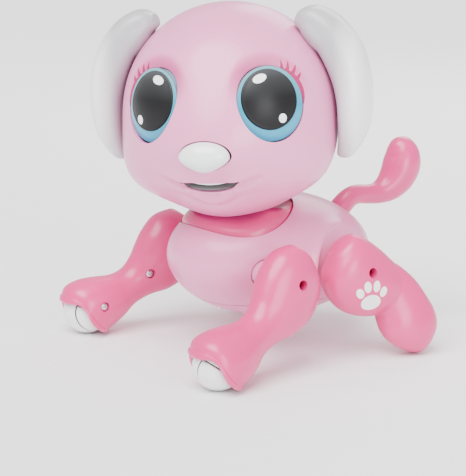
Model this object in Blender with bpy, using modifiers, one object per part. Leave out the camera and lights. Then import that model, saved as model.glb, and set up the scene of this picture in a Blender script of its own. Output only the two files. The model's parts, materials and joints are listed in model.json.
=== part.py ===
"""Robot dog toy: a moulded plastic puppy with a turning head, four swinging legs and a wagging tail.

Frame: +Z up, the dog faces -Y and its left side is +X. The origin is on the floor, under the middle
of the dog. Every size and place below is in millimetres; SCALE turns them into metres. The places are
measured from a point a little ahead of the origin, and FRAME_Y brings them to it.
"""
from math import asin, atan2, cos, degrees, exp, pi, radians, sin, sqrt, tau

import bmesh
import bpy
from mathutils import Euler, Matrix, Vector

SCALE = 0.001
FRAME_Y = -2.52                 # puts the dog's middle over the origin
GAP = 0.3                       # clearance between two separate pieces
MERGE = 0.00005                 # metres, for every merging modifier
LEFT, RIGHT = 1, -1
SIDES = {"left": LEFT, "right": RIGHT}

# ---- Body ------------------------------------------------------------------------------
BODY_CENTRE = (0.0, -3.3, 53.4)
BODY_HALF = (48.0, 65.4, 36.6)
BODY_TILT = -3.2                # degrees, the rump sits a little lower than the chest
BODY_WALL = 2.0
BODY_SEGMENTS, BODY_RINGS = 28, 16
BELLY_SEAM_Z = 30.0
BOSS_RADIUS = 10.5
BOSS_X = (36.0, 47.0)
DOOR_HALF = (15.0, 16.0)
DOOR_Y = -3.0
BELLY_SCREW_Y = (-38.0, 36.0)
DOOR_SCREW_Y = 9.0
SWITCH_Y = 24.0
SWITCH_TRAVEL = 4.0
SWITCH_HALF = (2.2, 2.6)

# ---- Neck: its axis leans forward, and heights along it are measured from the head's centre
COLLAR_CENTRE = (0.0, -27.0, 74.5)
COLLAR_HALF = (36.0, 31.5)
COLLAR_DROP = 5.0
COLLAR_RISE = 16.3
COLLAR_WALL = 2.0
NECK_TILT = 3.5                 # degrees
NECK_RADIUS, NECK_BORE = 11.0, 8.0
TUBE_LOW = -80.2
FLANGE_RADIUS, FLANGE_Z, FLANGE_WALL = 32.0, -43.2, 2.5
GEAR_TEETH, PINION_TEETH = 24, 8
GEAR_MODULE = 1.6
PINION_Y = GEAR_MODULE * (GEAR_TEETH + PINION_TEETH) / 2
GEAR_Z, GEAR_WIDTH = -78.2, 4.0

# ---- Head (its own frame: origin at the ball's centre, facing -Y) ------------------------
HEAD_CENTRE = (0.0, -30.8, 140.2)
HEAD_YAW = 43.5                 # degrees, the way the head is turned at rest
HEAD_RADIUS = 62.0
HEAD_WALL = 2.2
HEAD_SEGMENTS, HEAD_RINGS = 30, 18
HEAD_SEAM_Y = 1.5
HEAD_OPENING = 30.0
MUZZLE = (0.0, -11.5, 9.5, 22.0, 15.0)      # azimuth, elevation, height, width, tallness
CHEEK = (56.0, -27.5, 7.5, 24.0, 12.0)
CHIN = (0.0, -44.5, 3.5, 24.0, 14.0)
NAPE = (180.0, -58.5, -5.5, 55.0, 12.0)
EYE_AZIMUTH, EYE_ELEVATION = 34.5, 11.1
EYE_HALF = (19.2, 20.2)
EYE_CURVE = 40.0                # radius of the eye's dome
EYE_PROUD = 1.0
EYE_WALL = 1.6
PUPIL_RADIUS = 15.7
PUPIL_LIFT, PUPIL_TOE_IN = 3.2, 1.0         # degrees on the dome
NOSE_HALF = (15.8, 7.5, 8.8)
NOSE_PLACE = (0.0, -70.6, -13.6)
NOSE_TRAVEL = 1.2
MOUTH_PLACE = (0.0, -60.5, -31.4)
MOUTH_HALF = (17.0, 4.4)
MOUTH_PITCH = 25.5

# ---- Ears: outer edge, inner edge, depth centre, half depth, in the head's frame --------
EAR = [
    (43.0, 54.6, 39.8, 50.0, 5.0, 9.5),
    (48.0, 57.6, 44.0, 45.8, 5.0, 13.0),
    (56.0, 57.5, 49.6, 39.6, 5.5, 15.5),
    (66.0, 51.0, 56.3, 29.5, 6.5, 17.0),
    (76.0, 37.5, 61.3, 17.0, 7.5, 18.0),
    (81.0, 22.0, 64.0, 5.0, 8.0, 18.6),
    (82.5, 7.0, 65.4, -6.0, 8.0, 18.3),
    (81.0, -8.0, 66.0, -14.5, 8.0, 16.5),
    (77.0, -19.0, 65.8, -21.0, 8.0, 12.5),
    (72.0, -25.5, 66.0, -25.5, 8.0, 7.5),
    (69.0, -28.2, 69.0, -28.2, 8.0, 0.0),
]

# ---- Legs: front edge, rear edge (y, z from the pivot), mid plane, half thickness away from
# ---- the body and towards it ---------------------------------------------------------------
SHOULDER = (-34.4, 51.9)
HIP = (14.6, 52.4)
FRONT_LEG = [
    (8.5, 16.5, 8.5, 16.5, 63.0, 0.0, 0.0),
    (2.4, 19.5, 14.8, 9.0, 63.0, 6.5, 8.0),
    (-8.4, 15.6, 18.6, -3.0, 63.3, 11.5, 14.0),
    (-17.5, 8.6, 16.8, -14.0, 63.8, 13.0, 15.5),
    (-22.0, 0.2, 9.8, -23.5, 64.5, 12.8, 14.5),
    (-25.0, -7.2, -1.0, -29.6, 65.5, 11.8, 12.6),
    (-30.0, -14.2, -13.2, -32.0, 67.0, 11.2, 11.4),
    (-37.4, -17.4, -23.6, -36.4, 68.5, 12.0, 12.0),
    (-47.2, -17.8, -30.4, -42.9, 70.3, 14.5, 14.5),
    (-57.4, -18.8, -36.2, -47.6, 71.5, 16.3, 16.3),
    (-65.8, -22.8, -40.0, -49.8, 72.0, 17.0, 17.0),
    (-69.2, -30.9, -43.0, -51.4, 72.0, 17.0, 17.0),
]
HIND_LEG = [
    (-14.6, 14.6, -14.6, 14.6, 62.0, 0.0, 0.0),
    (-4.0, 20.6, -19.6, 5.6, 62.0, 8.0, 9.5),
    (3.4, 17.6, -22.6, -4.4, 62.3, 12.0, 14.0),
    (11.4, 12.1, -19.6, -15.4, 62.8, 13.5, 15.5),
    (18.4, 6.1, -10.6, -23.9, 63.5, 13.8, 15.0),
    (25.4, 0.6, 1.4, -28.4, 65.0, 12.8, 13.0),
    (30.4, -4.9, 9.4, -30.4, 67.0, 11.6, 11.6),
    (35.9, -12.9, 10.4, -34.4, 69.0, 11.4, 11.4),
    (41.9, -21.4, 11.4, -39.4, 71.0, 11.8, 11.8),
    (46.9, -29.9, 15.4, -44.4, 72.5, 12.0, 12.0),
    (46.4, -38.4, 21.4, -48.4, 73.3, 11.0, 11.0),
    (41.2, -46.0, 28.4, -52.4, 73.8, 7.0, 7.0),
    (35.1, -50.6, 35.1, -50.6, 74.0, 0.0, 0.0),
]
LEG_WALL = 1.8
LEG_SIDES, LEG_STEPS = 8, 1     # faces round half a leg, and rings between two stations
SEAM_HALF_GAP = 0.15
HUB_RADIUS, HUB_BORE = 8.0, 1.7
HUB_X = (34.0, 68.5)
HUB_CLEARANCE = 0.5
PIVOT_SCREW_X = 72.5
FRONT_SCREWS = ((-18.5, -16.5), (-50.0, -33.0))
HIND_SCREW = (23.0, -26.0)
TOE_CENTRE = (72.0, -88.4, 13.25)
TOE_HALF = (13.4, 14.4, 12.7)
TOE_TILT = -33.7

# ---- Tail: y, z, radius along its middle line --------------------------------------------
TAIL_PIVOT = (0.0, 47.0, 72.0)
TAIL = [
    (47.0, 72.0, 6.6), (51.0, 76.0, 6.5), (56.0, 79.6, 6.2), (62.0, 81.0, 6.0), (70.0, 80.2, 6.0),
    (78.0, 80.3, 6.9), (86.0, 83.0, 9.2), (92.5, 88.5, 11.2), (96.3, 95.5, 12.0), (96.8, 102.0, 11.2),
    (95.4, 107.5, 8.9), (93.8, 111.2, 5.6), (93.0, 113.2, 1.2),
]

# ---- Screws and inner parts ---------------------------------------------------------------
SCREW_HEAD, SCREW_HEAD_HEIGHT, SCREW_SHANK = 2.5, 1.7, 1.3
SCREW_HOLE = 2.9
GEARBOX_HALF = (7.5, 8.5, 9.5)
GEARBOX_X = 23.0

PINK = (0.86, 0.52, 0.66)
DEEP_PINK = (0.80, 0.28, 0.48)
WHITE = (0.90, 0.90, 0.91)
TEAL = (0.12, 0.55, 0.72)
CHARCOAL = (0.03, 0.03, 0.035)
STEEL = (0.62, 0.62, 0.64)
INNER_GREY = (0.30, 0.31, 0.33)
BOARD_GREEN = (0.03, 0.22, 0.10)


# ---- Scene, collections and materials ------------------------------------------------------
def clear_scene():
    for obj in list(bpy.data.objects):
        bpy.data.objects.remove(obj)


def make_collection(name):
    collection = bpy.data.collections.new(name)
    bpy.context.scene.collection.children.link(collection)
    return collection


def make_material(name, colour, roughness=0.35, metallic=0.0):
    material = bpy.data.materials.new(name)
    material.use_nodes = True
    shader = material.node_tree.nodes["Principled BSDF"]
    shader.inputs["Base Color"].default_value = (*colour, 1.0)
    shader.inputs["Roughness"].default_value = roughness
    shader.inputs["Metallic"].default_value = metallic
    return material


def make_object(name, mesh_builder, material=None, parent=None):
    """An object in the dog's collection, from a bmesh whose points are in millimetres."""
    mesh = bpy.data.meshes.new(name)
    mesh_builder.to_mesh(mesh)
    mesh_builder.free()
    mesh.transform(Matrix.Scale(SCALE, 4))
    obj = bpy.data.objects.new(name, mesh)
    if material:
        obj.data.materials.append(material)
        DOG.objects.link(obj)
    else:
        obj.hide_render = True
        obj.display_type = "WIRE"
        CUTTERS.objects.link(obj)
    obj.parent = parent
    obj.data.shade_smooth()
    obj.data.set_sharp_from_angle(angle=radians(35))
    return obj


def make_empty(name, place, parent=None, rotation=(0.0, 0.0, 0.0)):
    empty = bpy.data.objects.new(name, None)
    empty.location = Vector(place) * SCALE
    empty.rotation_euler = [radians(angle) for angle in rotation]
    empty.parent = parent
    DOG.objects.link(empty)
    return empty


# ---- Shape helpers, in millimetres ---------------------------------------------------------
def smooth_path(points, steps):
    """A Catmull-Rom curve through points of any dimension, with its ends repeated."""
    padded = [points[0]] + list(points) + [points[-1]]
    path = []
    for before, start, end, after in zip(padded, padded[1:], padded[2:], padded[3:]):
        for step in range(steps):
            t = step / steps
            path.append(tuple(
                0.5 * (2 * b + (c - a) * t + (2 * a - 5 * b + 4 * c - d) * t**2
                       + (3 * b - a - 3 * c + d) * t**3)
                for a, b, c, d in zip(before, start, end, after)))
    return path + [tuple(points[-1])]


def bridge_rings(shape, rings, closed):
    """Faces between neighbouring rings; a ring of one point closes to a fan."""
    for lower, upper in zip(rings, rings[1:]):
        count = max(len(lower), len(upper))
        for index in range(count if closed else count - 1):
            following = (index + 1) % count
            corners = [lower[index % len(lower)], lower[following % len(lower)],
                       upper[following % len(upper)], upper[index % len(upper)]]
            corners = [c for k, c in enumerate(corners) if c not in corners[:k]]
            shape.faces.new(corners)


def face_outwards(shape):
    bmesh.ops.recalc_face_normals(shape, faces=shape.faces)


def ball(half, segments=24, rings=12):
    shape = bmesh.new()
    bmesh.ops.create_uvsphere(shape, u_segments=segments, v_segments=rings, radius=1.0)
    bmesh.ops.scale(shape, vec=half, verts=shape.verts)
    return shape


def rounded_box(half, bevel=1.2):
    shape = bmesh.new()
    bmesh.ops.create_cube(shape, size=2.0)
    bmesh.ops.scale(shape, vec=half, verts=shape.verts)
    bmesh.ops.bevel(shape, geom=shape.edges, offset=bevel, segments=1, affect="EDGES")
    return shape


def plain_box(half):
    shape = bmesh.new()
    bmesh.ops.create_cube(shape, size=2.0)
    bmesh.ops.scale(shape, vec=half, verts=shape.verts)
    return shape


def rod(radius, low, high, segments=24):
    """A closed cylinder along Z."""
    shape = bmesh.new()
    bmesh.ops.create_cone(shape, cap_ends=True, segments=segments, radius1=radius, radius2=radius,
                          depth=high - low)
    bmesh.ops.translate(shape, vec=(0.0, 0.0, (low + high) / 2), verts=shape.verts)
    return shape


def place(shape, location, rotation=(0.0, 0.0, 0.0)):
    turn = Euler([radians(angle) for angle in rotation]).to_matrix().to_4x4()
    shape.transform(Matrix.Translation(Vector(location)) @ turn)
    return shape


def keep_side(shape, point, normal, fill=False):
    """Cut by a plane and keep the side that the normal points away from."""
    cut = bmesh.ops.bisect_plane(shape, geom=shape.verts[:] + shape.edges[:] + shape.faces[:],
                                 plane_co=point, plane_no=normal, clear_outer=True)
    if fill:
        edges = [e for e in cut["geom_cut"] if isinstance(e, bmesh.types.BMEdge)]
        bmesh.ops.holes_fill(shape, edges=edges)
    return shape


def solidify(obj, thickness):
    modifier = obj.modifiers.new("wall", "SOLIDIFY")
    modifier.thickness = thickness * SCALE
    modifier.offset = -1.0
    return obj


def boolean(obj, cutters, operation="DIFFERENCE"):
    for cutter in cutters:
        modifier = obj.modifiers.new(operation.lower(), "BOOLEAN")
        modifier.operation = operation
        modifier.solver = "EXACT"
        modifier.object = cutter
    return obj


def turned(name, profile, material, parent, steps=32):
    """A profile of (radius, height) points, top to bottom on its outer side, turned about Z."""
    shape = bmesh.new()
    points = [shape.verts.new((radius, 0.0, height)) for radius, height in profile]
    for start, end in zip(points, points[1:]):
        shape.edges.new((start, end))
    obj = make_object(name, shape, material, parent)
    modifier = obj.modifiers.new("turn", "SCREW")
    modifier.steps = steps
    modifier.render_steps = steps
    modifier.use_merge_vertices = True
    modifier.merge_threshold = MERGE
    modifier.use_smooth_shade = True
    return obj


def turned_ring(name, profile, material, parent, steps=32):
    """The same, for a closed profile that doesn't reach the axis."""
    obj = turned(name, profile + profile[:1], material, parent, steps)
    weld = obj.modifiers.new("weld", "WELD")
    weld.merge_threshold = MERGE
    return obj


def screw(name, material, parent, location, direction, length, head=SCREW_HEAD):
    """A pan-head screw: its head's top centre is at location, and it points along direction."""
    profile = [(0.0, 0.0), (head * 0.75, 0.0), (head, -0.5), (head, -SCREW_HEAD_HEIGHT),
               (SCREW_SHANK, -SCREW_HEAD_HEIGHT), (SCREW_SHANK, 0.8 - length), (0.0, -length)]
    obj = turned(name, profile, material, parent, steps=10)
    obj.location = Vector(location) * SCALE
    obj.rotation_mode = "QUATERNION"
    obj.rotation_quaternion = Vector(direction).to_track_quat("-Z", "Y")
    return obj


# ---- Head ---------------------------------------------------------------------------------
def bump(azimuth, elevation, feature):
    at_azimuth, at_elevation, height, width, tallness = feature
    return height * exp(-((azimuth - at_azimuth) / width) ** 2 / 2
                        - ((elevation - at_elevation) / tallness) ** 2 / 2)


def head_radius(direction):
    """How far the head's skin is from its centre: a ball with a muzzle, two cheeks and a chin."""
    azimuth = abs(degrees(atan2(direction.x, -direction.y)))
    elevation = degrees(asin(max(-1.0, min(1.0, direction.z))))
    return HEAD_RADIUS + sum(bump(azimuth, elevation, feature) for feature in (MUZZLE, CHEEK, CHIN, NAPE))


def head_direction(azimuth, elevation):
    azimuth, elevation = radians(azimuth), radians(elevation)
    return Vector((sin(azimuth) * cos(elevation), -cos(azimuth) * cos(elevation), sin(elevation)))


def head_skin():
    shape = ball((1.0, 1.0, 1.0), HEAD_SEGMENTS, HEAD_RINGS)
    for vertex in shape.verts:
        direction = vertex.co.normalized()
        vertex.co = direction * head_radius(direction)
    return shape


def eye_frame(side):
    """The eye's matrix: +Z out of the head, +Y up the face."""
    outward = head_direction(side * EYE_AZIMUTH, EYE_ELEVATION)
    across = Vector((0.0, 0.0, 1.0)).cross(outward).normalized()
    up = outward.cross(across)
    turn = Matrix((across, up, outward)).transposed().to_4x4()
    apex = head_radius(outward) + EYE_PROUD
    return Matrix.Translation(outward * (apex - EYE_CURVE)) @ turn


def dome(radius, half_width, segments=20, rings=3):
    """An open cap of a ball about +Z."""
    shape = bmesh.new()
    edge = asin(half_width / radius)
    circles = [[shape.verts.new((0.0, 0.0, radius))]]
    for ring in range(1, rings + 1):
        angle = edge * ring / rings
        circles.append([shape.verts.new((radius * sin(angle) * cos(tau * k / segments),
                                         radius * sin(angle) * sin(tau * k / segments),
                                         radius * cos(angle))) for k in range(segments)])
    bridge_rings(shape, circles, closed=True)
    for face in shape.faces:
        face.normal_update()
        if face.normal.z < 0:
            face.normal_flip()
    return shape


def build_eye(name, side, head):
    frame = eye_frame(side)
    stretch = Matrix.Diagonal((1.0, EYE_HALF[1] / EYE_HALF[0], 1.0, 1.0))
    pupil_turn = (Matrix.Rotation(radians(-PUPIL_LIFT), 4, "X")
                  @ Matrix.Rotation(radians(-side * PUPIL_TOE_IN), 4, "Y"))
    iris = dome(EYE_CURVE, EYE_HALF[0])
    iris.transform(frame @ stretch)
    iris = make_object(f"eye_iris_{name}", iris, MATERIALS["iris"], head)
    solidify(iris, EYE_WALL)
    pupil = dome(EYE_CURVE, PUPIL_RADIUS)
    pupil.transform(frame @ stretch @ pupil_turn)
    pupil = make_object(f"eye_pupil_{name}", pupil, MATERIALS["pupil"], head)
    solidify(pupil, EYE_WALL)
    opening = rod(PUPIL_RADIUS + GAP, EYE_CURVE - 14.0, EYE_CURVE + 6.0)
    opening.transform(frame @ stretch @ pupil_turn)
    boolean(iris, [make_object(f"pupil_cut_{name}", opening, parent=head)])
    socket = rod(EYE_HALF[0] + 2 * GAP, EYE_CURVE - 16.0, EYE_CURVE + 14.0)
    socket.transform(frame @ stretch)
    return make_object(f"eye_cut_{name}", socket, parent=head)


def build_nose(head):
    shape = ball(NOSE_HALF, 20, 10)
    for vertex in shape.verts:
        drop = max(0.0, -vertex.co.z / NOSE_HALF[2])
        vertex.co.x *= 1.0 - 0.42 * drop ** 1.6
    keep_side(shape, (0.0, NOSE_HALF[1] * 0.35, 0.0), (0.0, 1.0, 0.0), fill=True)
    place(shape, NOSE_PLACE)
    make_object("nose_button", shape, MATERIALS["white"], head)
    hole = rod(1.0, -9.0, 12.0, segments=20)
    bmesh.ops.scale(hole, vec=(NOSE_HALF[0] + 2 * GAP, NOSE_HALF[2] + 2 * GAP, 1.0), verts=hole.verts)
    place(hole, NOSE_PLACE, (90.0, 0.0, 0.0))
    return make_object("nose_cut", hole, parent=head)


def build_mouth(head):
    """A dark window that sits a little way into the mouth's opening."""
    width, height = MOUTH_HALF
    window = ball((width - 2 * GAP, 2.2, height - 2 * GAP), 20, 8)
    place(window, MOUTH_PLACE, (MOUTH_PITCH, 0.0, 0.0))
    make_object("mouth_window", window, MATERIALS["pupil"], head)
    hole = rod(1.0, -9.0, 9.0, segments=20)
    bmesh.ops.scale(hole, vec=(width, height, 1.0), verts=hole.verts)
    place(hole, (0.0, 0.0, 0.0), (90.0, 0.0, 0.0))
    place(hole, MOUTH_PLACE, (MOUTH_PITCH, 0.0, 0.0))
    return make_object("mouth_cut", hole, parent=head)


def build_head_shells(head, face_cutters):
    opening = make_object("neck_cut", rod(HEAD_OPENING, -75.0, -40.0, segments=36), parent=head)
    half_gap = GAP / 2
    face = keep_side(head_skin(), (0.0, HEAD_SEAM_Y - half_gap, 0.0), (0.0, 1.0, 0.0))
    back = keep_side(head_skin(), (0.0, HEAD_SEAM_Y + half_gap, 0.0), (0.0, -1.0, 0.0))
    face_shell = make_object("head_face_shell", face, MATERIALS["pink"], head)
    back_shell = make_object("head_back_shell", back, MATERIALS["pink"], head)
    boolean(solidify(face_shell, HEAD_WALL), [opening] + face_cutters)
    boolean(solidify(back_shell, HEAD_WALL), [opening])


def build_ear(name, side, head):
    """A puffy lobe: a thick root on the head's side, hanging down clear of the cheek."""
    shape = bmesh.new()
    rings = []
    for outer_x, outer_z, inner_x, inner_z, depth, half_depth in smooth_path(EAR, 1):
        if half_depth < 0.01:
            rings.append([shape.verts.new((side * outer_x, depth, outer_z))])
            continue
        middle = Vector(((outer_x + inner_x) / 2, depth, (outer_z + inner_z) / 2))
        reach = Vector(((outer_x - inner_x) / 2, 0.0, (outer_z - inner_z) / 2))
        ring = []
        for step in range(14):
            angle = tau * step / 14
            point = middle + reach * cos(angle) + Vector((0.0, half_depth * sin(angle), 0.0))
            ring.append(shape.verts.new((side * point.x, point.y, point.z)))
        rings.append(ring)
    bridge_rings(shape, rings, closed=True)
    shape.faces.new(rings[0])
    face_outwards(shape)
    make_object(f"ear_{name}", shape, MATERIALS["white"], head)


def gear_outline(teeth, thickness_share):
    """Straight-sided teeth, with the first tooth's middle on +X."""
    pitch_radius = GEAR_MODULE * teeth / 2
    tip, root = pitch_radius + 0.75 * GEAR_MODULE, pitch_radius - 1.05 * GEAR_MODULE
    pitch_angle = tau / teeth
    root_half, tip_half = pitch_angle * thickness_share / 2, pitch_angle * thickness_share / 4.5
    points = []
    for tooth in range(teeth):
        middle = tooth * pitch_angle
        for radius, offset in ((root, -root_half), (tip, -tip_half), (tip, tip_half), (root, root_half)):
            points.append((radius * cos(middle + offset), radius * sin(middle + offset)))
    return points


def gear(name, teeth, bore, turn, material, parent, location):
    outline = gear_outline(teeth, 0.62)
    shape = bmesh.new()
    levels = []
    for height in (0.0, GEAR_WIDTH):
        outer = [shape.verts.new((x, y, height)) for x, y in outline]
        inner = []
        for x, y in outline:
            angle = atan2(y, x)
            inner.append(shape.verts.new((bore * cos(angle), bore * sin(angle), height)))
        levels.append((outer, inner))
    (low_outer, low_inner), (high_outer, high_inner) = levels
    bridge_rings(shape, [low_outer, high_outer, high_inner, low_inner, low_outer], closed=True)
    face_outwards(shape)
    place(shape, (0.0, 0.0, 0.0), (0.0, 0.0, turn))
    obj = make_object(name, shape, material, parent)
    obj.location = Vector(location) * SCALE
    return obj


def build_neck(head):
    """The tube that the head turns on, its flange inside the head, and its ring gear in the body."""
    profile = [(NECK_BORE, FLANGE_Z + FLANGE_WALL), (FLANGE_RADIUS, FLANGE_Z + FLANGE_WALL),
               (FLANGE_RADIUS, FLANGE_Z), (NECK_RADIUS, FLANGE_Z), (NECK_RADIUS, TUBE_LOW),
               (NECK_BORE, TUBE_LOW)]
    turned_ring("neck_tube", profile, MATERIALS["inner"], head, steps=28)
    gear("neck_gear", GEAR_TEETH, NECK_RADIUS + GAP, -HEAD_YAW - 90.0, MATERIALS["white"], head,
         (0.0, 0.0, GEAR_Z))


def build_head(neck):
    head = make_empty("head_turn_axis", (0.0, 0.0, 0.0), neck, (0.0, 0.0, HEAD_YAW))
    cutters = [build_eye(name, side, head) for name, side in SIDES.items()]
    cutters += [build_nose(head), build_mouth(head)]
    build_head_shells(head, cutters)
    for name, side in SIDES.items():
        build_ear(name, side, head)
    build_neck(head)
    board = place(rounded_box((22.0, 0.8, 13.0), 0.3), (0.0, -24.0, 4.0))
    make_object("eye_board", board, MATERIALS["board"], head)


# ---- Body ---------------------------------------------------------------------------------
def body_skin():
    shape = ball(BODY_HALF, BODY_SEGMENTS, BODY_RINGS)
    return place(shape, BODY_CENTRE, (BODY_TILT, 0.0, 0.0))


def belly_height(y):
    """The height of the body's underside on its middle line."""
    return BODY_CENTRE[2] - BODY_HALF[2] * sqrt(1.0 - ((y - BODY_CENTRE[1]) / BODY_HALF[1]) ** 2)


def cross_rod(radius, pivot, low, high):
    """A cutter along X through a leg's pivot."""
    shape = rod(radius, low, high)
    return place(shape, (0.0, pivot[0], pivot[1]), (0.0, 90.0, 0.0))


def build_body_shells(frame):
    half_gap = GAP / 2
    upper = keep_side(body_skin(), (0.0, 0.0, BELLY_SEAM_Z + half_gap), (0.0, 0.0, -1.0))
    lower = keep_side(body_skin(), (0.0, 0.0, BELLY_SEAM_Z - half_gap), (0.0, 0.0, 1.0))
    upper = solidify(make_object("body_shell", upper, MATERIALS["pink"], frame), BODY_WALL)
    lower = solidify(make_object("belly_shell", lower, MATERIALS["pink"], frame), BODY_WALL)

    neck = rod(1.0, -20.0, 40.0, segments=32)
    bmesh.ops.scale(neck, vec=(*COLLAR_HALF, 1.0), verts=neck.verts)
    place(neck, COLLAR_CENTRE)
    cutters = [make_object("collar_cut", neck, parent=frame)]
    for title, pivot in (("shoulder", SHOULDER), ("hip", HIP)):
        shape = cross_rod(HUB_RADIUS + HUB_CLEARANCE, pivot, -70.0, 70.0)
        cutters.append(make_object(f"{title}_cut", shape, parent=frame))
    tail_hole = place(rod(TAIL[0][2] + 1.6, -9.0, 12.0), TAIL_PIVOT, (-45.0, 0.0, 0.0))
    cutters.append(make_object("tail_cut", tail_hole, parent=frame))
    for title, pivot in (("shoulder", SHOULDER), ("hip", HIP)):
        for name, side in SIDES.items():
            low, high = sorted((side * BOSS_X[0], side * BOSS_X[1]))
            boss = make_object(f"{title}_boss_{name}", cross_rod(BOSS_RADIUS, pivot, low, high), parent=frame)
            boolean(upper, [boss], "UNION")
    boolean(upper, cutters)

    door_window = place(plain_box((*DOOR_HALF, 12.0)), (0.0, DOOR_Y, 20.0))
    switch_slot = plain_box((SWITCH_HALF[0] + 0.5, SWITCH_HALF[1] + SWITCH_TRAVEL / 2 + 0.5, 10.0))
    place(switch_slot, (0.0, SWITCH_Y + SWITCH_TRAVEL / 2, 22.0))
    cutters = [make_object("door_cut", door_window, parent=frame),
               make_object("switch_cut", switch_slot, parent=frame)]
    for index, y in enumerate(BELLY_SCREW_Y):
        hole = place(rod(SCREW_HOLE, -8.0, 10.0, segments=16), (0.0, y, belly_height(y)))
        cutters.append(make_object(f"belly_screw_cut_{index}", hole, parent=frame))
    boolean(lower, cutters)


def build_battery(frame):
    door = keep_side(body_skin(), (0.0, 0.0, BELLY_SEAM_Z), (0.0, 0.0, 1.0))
    for axis, middle in ((0, 0.0), (1, DOOR_Y)):
        for direction in (-1, 1):
            normal = Vector((0.0, 0.0, 0.0))
            normal[axis] = direction
            edge = middle + direction * (DOOR_HALF[axis] - GAP)
            keep_side(door, normal * direction * edge, normal)
    door = solidify(make_object("battery_door", door, MATERIALS["pink"], frame), BODY_WALL)
    hole = place(rod(2.3, -8.0, 8.0, segments=16), (0.0, DOOR_SCREW_Y, belly_height(DOOR_SCREW_Y)))
    boolean(door, [make_object("door_screw_cut", hole, parent=frame)])
    pack = place(rounded_box((14.5, 15.0, 5.8), 2.5), (0.0, DOOR_Y, 30.0))
    make_object("battery_pack", pack, MATERIALS["battery"], frame)


def build_collar(frame, neck):
    """A domed neck piece that fills the body's neck opening, below the head."""
    radius = COLLAR_HALF[0] - 2 * GAP
    profile = [(0.0, COLLAR_RISE)]
    for step in range(1, 6):
        angle = pi / 2 * step / 5
        profile.append((radius * sin(angle), COLLAR_RISE * cos(angle) ** 0.9))
    profile.append((radius, -COLLAR_DROP))
    collar = turned("neck_collar", profile, MATERIALS["deep_pink"], frame, steps=28)
    collar.location = Vector(COLLAR_CENTRE) * SCALE
    collar.scale = (1.0, COLLAR_HALF[1] / COLLAR_HALF[0], 1.0)
    solidify(collar, COLLAR_WALL)
    bore = rod(NECK_RADIUS + 1.0, -90.0, -30.0, segments=20)
    boolean(collar, [make_object("neck_bore_cut", bore, parent=neck)])


def build_inner_parts(frame, neck):
    for title, pivot in (("front", SHOULDER), ("hind", HIP)):
        for name, side in SIDES.items():
            box = place(rounded_box(GEARBOX_HALF), (side * GEARBOX_X, pivot[0] + 3.0, pivot[1] - 2.0))
            make_object(f"{title}_gearbox_{name}", box, MATERIALS["inner"], frame)
    profile = [(0.0, GEAR_WIDTH + 0.4), (1.0, GEAR_WIDTH + 0.4), (1.0, -0.8), (3.0, -0.8), (3.0, -2.4),
               (8.0, -2.4), (8.0, -23.0), (0.0, -23.0)]
    motor = turned("head_motor", profile, MATERIALS["steel"], neck, steps=24)
    motor.location = Vector((0.0, PINION_Y, GEAR_Z)) * SCALE
    axis = make_empty("pinion_axis", (0.0, PINION_Y, GEAR_Z), neck)
    gear("head_pinion", PINION_TEETH, 1.0 + GAP, -90.0 + 180.0 / PINION_TEETH, MATERIALS["white"],
         axis, (0.0, 0.0, 0.0))
    tail_motor = place(rod(6.0, -9.0, 9.0, segments=20), (0.0, 39.0, 55.0))
    make_object("tail_motor", tail_motor, MATERIALS["steel"], frame)
    board = place(rounded_box((17.0, 15.0, 0.8), 0.3), (0.0, 24.0, 70.5))
    make_object("main_board", board, MATERIALS["board"], frame)
    speaker = place(rod(11.0, -2.0, 2.0, segments=24), (0.0, -50.5, 49.0), (90.0, 0.0, 0.0))
    make_object("speaker", speaker, MATERIALS["inner"], frame)
    for title, y in zip(("front", "rear"), BELLY_SCREW_Y):
        screw(f"belly_screw_{title}", MATERIALS["steel"], frame, (0.0, y, belly_height(y) + 0.6),
              (0.0, 0.0, 1.0), 12.0)
    height = belly_height(DOOR_SCREW_Y) + 0.4
    screw("battery_door_screw", MATERIALS["steel"], frame, (0.0, DOOR_SCREW_Y, height),
          (0.0, 0.0, 1.0), 5.5, head=1.9)
    slider = plain_box((*SWITCH_HALF, 2.5))
    bmesh.ops.bevel(slider, geom=slider.edges, offset=0.5, segments=1, affect="EDGES")
    place(slider, (0.0, SWITCH_Y, belly_height(SWITCH_Y) + 1.2))
    make_object("power_switch", slider, MATERIALS["charcoal"], frame)


# ---- Tail ---------------------------------------------------------------------------------
def build_tail(frame):
    curve = bpy.data.curves.new("tail", "CURVE")
    curve.dimensions = "3D"
    curve.bevel_depth = SCALE
    curve.bevel_resolution = 2
    curve.use_fill_caps = True
    spline = curve.splines.new("POLY")
    path = smooth_path(TAIL, 2)
    spline.points.add(len(path) - 1)
    for point, (y, z, radius) in zip(spline.points, path):
        point.co = (0.0, (y - TAIL_PIVOT[1]) * SCALE, (z - TAIL_PIVOT[2]) * SCALE, 1.0)
        point.radius = radius
    axis = make_empty("tail_axis", TAIL_PIVOT, frame)
    tail = bpy.data.objects.new("tail", curve)
    curve.materials.append(MATERIALS["deep_pink"])
    DOG.objects.link(tail)
    tail.parent = axis


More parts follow.
